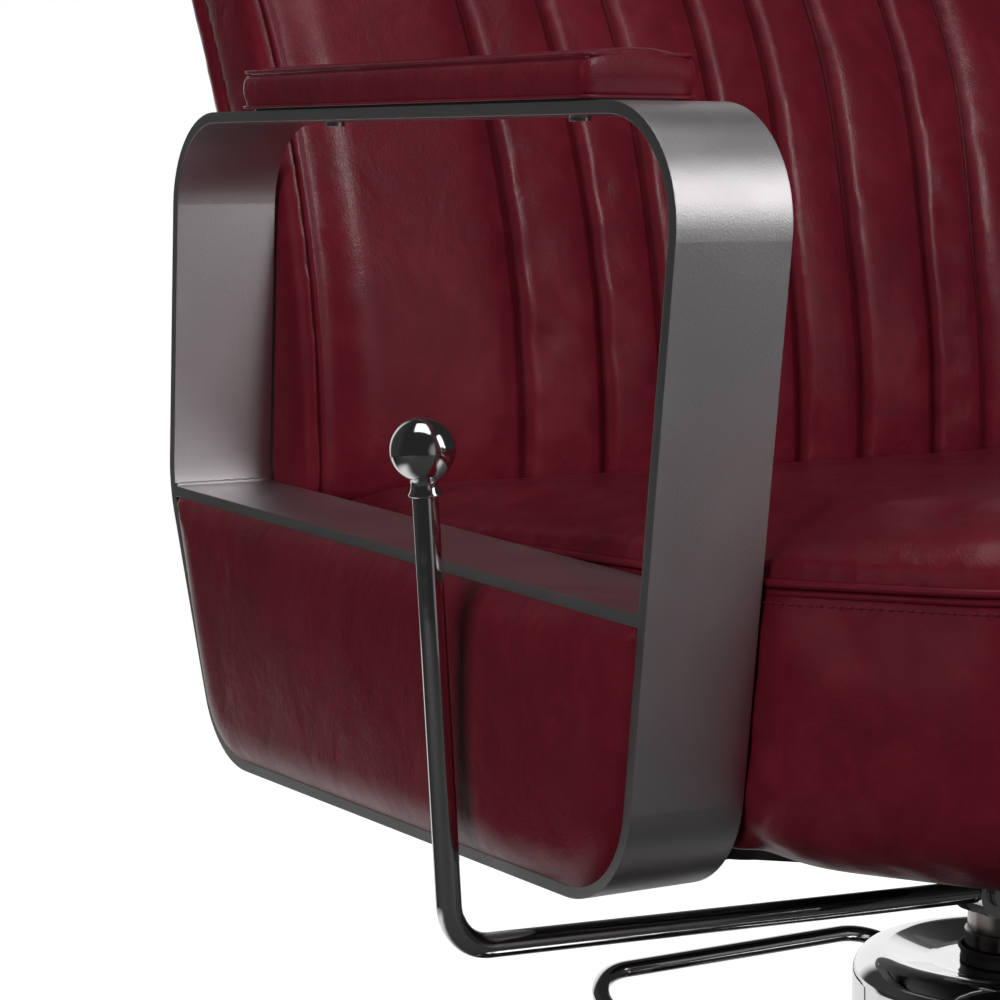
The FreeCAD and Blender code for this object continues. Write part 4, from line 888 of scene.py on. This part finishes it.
def seam_height(y):
    """Height of the sloping seam at a depth."""
    share = (y - SEAM_FRONT_Y) / (SEAM_REAR_Y - SEAM_FRONT_Y)
    return SEAM_FRONT_Z + (SEAM_REAR_Z - SEAM_FRONT_Z) * share


def above_seam(place):
    """Height of points above the seam."""
    return place[:, 2] - seam_height(place[:, 1])


def square_up(place, outward, side):
    """Bring a skin's soft edge at the seam back to a tight one."""
    height = side * above_seam(place)
    level = np.hypot(outward[:, 0], outward[:, 1])
    facing = (side * outward[:, 2] < 0.25) * ease(level, 0.12, 0.5)
    near = (1 - ease(height, 0.004, 0.016)) * facing
    push = 0.0032 * (1 - level) * near / np.maximum(level, 0.1)
    place[:, :2] += outward[:, :2] * push[:, None]
    place[:, 2] -= side * 0.0026 * (1 - np.abs(outward[:, 2])) * near
    return place


# %% Seat cushion
def cushion_sewn(place, outward):
    """Held at the seam."""
    return 1.0 - ease(above_seam(place), 0.004, 0.014)


TOP_LINE, TOP_LINE_WIDTH, TOP_LINE_DEPTH = 0.0075, 0.0016, 0.0007
cushion = filled_cover("seat_cushion", "seat_cushion_cover", 0.0055, cushion_sewn, 0.0035)
place, outward = points(cushion), directions(cushion)
place = square_up(place, outward, 1)
height = above_seam(place)
top_line = np.exp(-((height - TOP_LINE) / TOP_LINE_WIDTH) ** 2)
top_line *= np.abs(outward[:, 2]) < 0.8
place -= outward * (TOP_LINE_DEPTH * top_line)[:, None]
set_points(cushion, place)
# Painted shade in the seat seam and, fainter, in the groove line above it.
mark_seam_shade(cushion, np.maximum(0.35 * top_line, np.exp(-(height / 0.0022) ** 2)))
finish_cover(cushion, "chassis", 0.8, "seat_cushion")


# %% Seat box
def box_sewn(place, outward):
    """Held at the seam, at the rear and underneath."""
    held = np.maximum(ease(above_seam(place), -0.014, -0.004), ease(place[:, 1], -0.200, -0.185))
    return np.maximum(held, ease(-outward[:, 2], 0.8, 0.95))


box_cover = filled_cover("seat_box", "seat_box_cover", 0.0055, box_sewn, 0.0035)
place, outward = points(box_cover), directions(box_cover)
place = square_up(place, outward, -1)
set_points(box_cover, place)
# Painted shade along the seam at the box's top edge.
mark_seam_shade(box_cover, np.exp(-(above_seam(place) / 0.0025) ** 2))
finish_cover(box_cover, "chassis", 0.85, "seat_box")

# %% Lips in the seat's seam
solid = points(frame["nodes"]["seat_cushion"])
low_part = solid[above_seam(solid) < 0.012]
seat_corners = hull_of(low_part[:, :2])
for name, radius, rise in (("upper", 0.0021, 0.0021), ("lower", 0.0017, -0.0016)):
    loop = even_loop(seat_corners, 0.006, radius - 0.0002 - 0.2 * rise)
    route = np.column_stack([loop, seam_height(loop[:, 1]) + rise])
    lip_piece = lay_lip("seat_seam_lip_" + name, route, radius, "chassis", leather)
    # Painted shade where the two lips meet in the seam.
    mark_seam_shade(lip_piece, np.exp(-(above_seam(points(lip_piece)) / 0.0009) ** 2))

# %% Stitches below the seam
STITCH_STEP, STITCH_DROP, STITCHES_END_Y = 0.0046, 0.0062, 0.10
stretch = Matrix.Diagonal((0.0017, 0.00050, 0.00050, 1))
stitch_loop = even_loop(seat_corners, STITCH_STEP, -0.0002)
shape = bmesh.new()
for index, here in enumerate(stitch_loop):
    if here[1] >= STITCHES_END_Y:
        continue
    along = here - stitch_loop[index - 1]
    turn = Matrix.Rotation(math.atan2(along[1], along[0]), 4, "Z")
    middle = Matrix.Translation((*here, seam_height(here[1]) - STITCH_DROP))
    bmesh.ops.create_uvsphere(shape, u_segments=6, v_segments=4, radius=1.0,
                              matrix=middle @ turn @ stretch)
stitches = placed("seat_seam_stitches", shape)
dressed(stitches, "chassis", thread.material)

# %% [markdown]
# ## Side panels, arm pads and headrest
#
# The lower window of each arm frame holds a padded panel with a broad round edge. The arm
# pads are slim and firm; their leather comes down over the board's edge, and a fine lip
# runs along their upper and lower edges. The headrest pad is the fullest piece of all.

# %% Side panels
# Each fills its window up to the band. Its outer face is slightly crowned.
PANEL_FACE, PANEL_CROWN, PANEL_GROWTH = 0.3812, 0.0040, 0.0068
PANEL_REACH, PANEL_INSET = 0.024, 0.012
for side, out in (("right", -1), ("left", 1)):
    panel = skin_of("side_panel_" + side, "side_panel_cover_" + side, 0.0038)
    finer(panel)
    corners = hull_of(points(frame["nodes"]["side_panel_" + side])[:, 1:])
    middle = (corners.max(axis=0) + corners.min(axis=0)) / 2
    grown = 1 + PANEL_GROWTH / (corners.max(axis=0) - corners.min(axis=0))
    place, outward = points(panel), directions(panel)
    place[:, 1:] = middle + (place[:, 1:] - middle) * grown
    inside = np.clip(inside_by(place[:, 1:], middle + (corners - middle) * grown), 0, None)
    share = (place[:, 1:] - middle) / (corners.max(axis=0) - middle)
    crown = np.clip((1 - share[:, 0] ** 2) * (1 - share[:, 1] ** 2), 0, 1)
    face = PANEL_FACE + PANEL_CROWN * crown - turned_under(inside, PANEL_REACH, PANEL_INSET)
    blend = ease(out * outward[:, 0], 0.10, 0.45)
    place[:, 0] += blend * (out * face - place[:, 0])
    set_points(panel, place)
    finish_cover(panel, "chassis", 0.9, "side_panel_" + side)

# %% Arm pads
# The skin's lower edge is drawn down over the board. Levels are heights above the floor.
PAD_UPPER_LIP, PAD_LOWER_LIP, PAD_LIP_RADIUS = 0.7140, 0.6964, 0.0009
PAD_TURN_Z, PAD_DRAWN_DOWN = 0.7020, 0.0032
for side in ("right", "left"):
    pad = skin_of("arm_pad_" + side, "arm_pad_cover_" + side, 0.0030)
    finer(pad)
    corners = hull_of(points(frame["nodes"]["arm_pad_" + side])[:, :2])
    place = points(pad)
    inside = inside_by(place[:, :2], corners)
    low_edge = ease(PAD_TURN_Z - place[:, 2], 0, 0.0025) * ease(0.0040 - inside, 0, 0.0006)
    place[:, 2] -= PAD_DRAWN_DOWN * low_edge
    set_points(pad, place)
    # Painted shade along the pad's lower edge, below its lower lip where the leather turns under.
    mark_seam_shade(pad, 0.8 * ease(0.6975 - place[:, 2], 0, 0.001))
    finish_cover(pad, "chassis", 0.9, "arm_pad_" + side)
    for name, level, inset in (("upper", PAD_UPPER_LIP, 0.0022), ("lower", PAD_LOWER_LIP, 0.0012)):
        loop = even_loop(corners, 0.004, inset)
        route = np.column_stack([loop, np.full(len(loop), level)])
        lay_lip("arm_pad_lip_" + name + "_" + side, route, PAD_LIP_RADIUS, "chassis",
                leather)


# %% Headrest pad
def head_sewn(place, outward):
    """Held behind, where it is sewn to its board."""
    return ease(outward[:, 1], 0.5, 0.8)


head_cover = filled_cover("headrest_pad", "headrest_cover", 0.0050, head_sewn, 0.006,
                          slack=0.02, voxel=0.008)
finish_cover(head_cover, "headrest", 0.85, "headrest_pad")

# %% [markdown]
# ## Small metal pieces
#
# The ball of the lever is turned with a short waisted neck, which ends in a ring round the
# rod. It is one outline spun round the rod's direction. Weld beads join the shelf to the
# arm's band.

# %% Ball of the lever
BALL_PLACE = Vector((-0.4058, -0.07125, 0.5430))
BALL_RADIUS, BALL_TURN = 0.0148, math.radians(153)
ROD_LEAN, ROD_RISE, ROD_TURN = -15, 228, math.radians(4.7)
NECK = [(0.0064, -0.0142), (0.0062, -0.0155), (0.0064, -0.0172), (0.0070, -0.0188),
        (0.0076, -0.0198), (0.0076, -0.0204), (0.0072, -0.0208), (0.0061, -0.0208)]
rod_up = Vector((ROD_LEAN * math.cos(ROD_TURN), ROD_LEAN * math.sin(ROD_TURN), ROD_RISE))
outline = [(BALL_RADIUS * math.sin(turn), BALL_RADIUS * math.cos(turn))
           for turn in np.linspace(0, BALL_TURN, 22)] + NECK
shape = bmesh.new()
profile = [shape.verts.new((across, 0, up)) for across, up in outline]
edges = [shape.edges.new(pair) for pair in zip(profile, profile[1:])]
bmesh.ops.spin(shape, geom=profile + edges, cent=(0, 0, 0), axis=(0, 0, 1), angle=math.tau,
               steps=48, use_merge=True)
bmesh.ops.remove_doubles(shape, verts=shape.verts, dist=0.000001)
bmesh.ops.recalc_face_normals(shape, faces=shape.faces)
turned = Vector((0, 0, 1)).rotation_difference(rod_up.normalized()).to_matrix().to_4x4()
bmesh.ops.transform(shape, matrix=Matrix.Translation(BALL_PLACE) @ turned, verts=shape.verts)
ball = placed("lever_ball", shape)
dressed(ball, "hand_lever", chrome)
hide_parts("lever_knob")

# %% Weld beads of the shelves
BAND_INNER, BAND_OUTER, BEAD_RADIUS, BEAD_STEPS = 0.3185, 0.3745, 0.0015, 16
for side, out in (("right", -1), ("left", 1)):
    shelf = points(frame["nodes"]["arm_shelf_" + side])
    for end, name in ((1, "rear"), (-1, "front")):
        reach = (end * shelf[:, 1]).max()
        tip = shelf[end * shelf[:, 1] > reach - BEAD_RADIUS]
        steps = np.linspace(BAND_INNER, BAND_OUTER, BEAD_STEPS)
        wave = 0.0003 * np.sin(steps * 900)
        depth = np.full(BEAD_STEPS, end * (reach - 0.0006))
        route = np.column_stack([out * steps, depth, tip[:, 2].max() + 0.0004 + wave])
        lay_lip("shelf_weld_" + name + "_" + side, route, BEAD_RADIUS, "chassis",
                satin.material, closed=False)

# %% [markdown]
# ## Flags
#
# A photographer holds black card between a lamp and what it must not touch. Here the lamp
# for the arms' bends reaches metal only, and the one for the edges of the channels reaches
# leather only.


# %% Flags at two lamps
def only_on(box, *slots):
    """Let a lamp reach nothing but the pieces in some slots' finishes."""
    finishes = [finish_of_slot[slot].name for slot in slots]
    lit = bpy.data.collections.new(box.name + "_reach")
    for piece in scene.objects:
        if piece.type == "MESH" and piece.data.materials[0].name in finishes:
            lit.objects.link(piece)
    box.light_linking.receiver_collection = lit


only_on(bend_box, "satin_steel", "plated_steel", "polished_sheet", "column_steel")
only_on(ridge_strip, "red_leather")
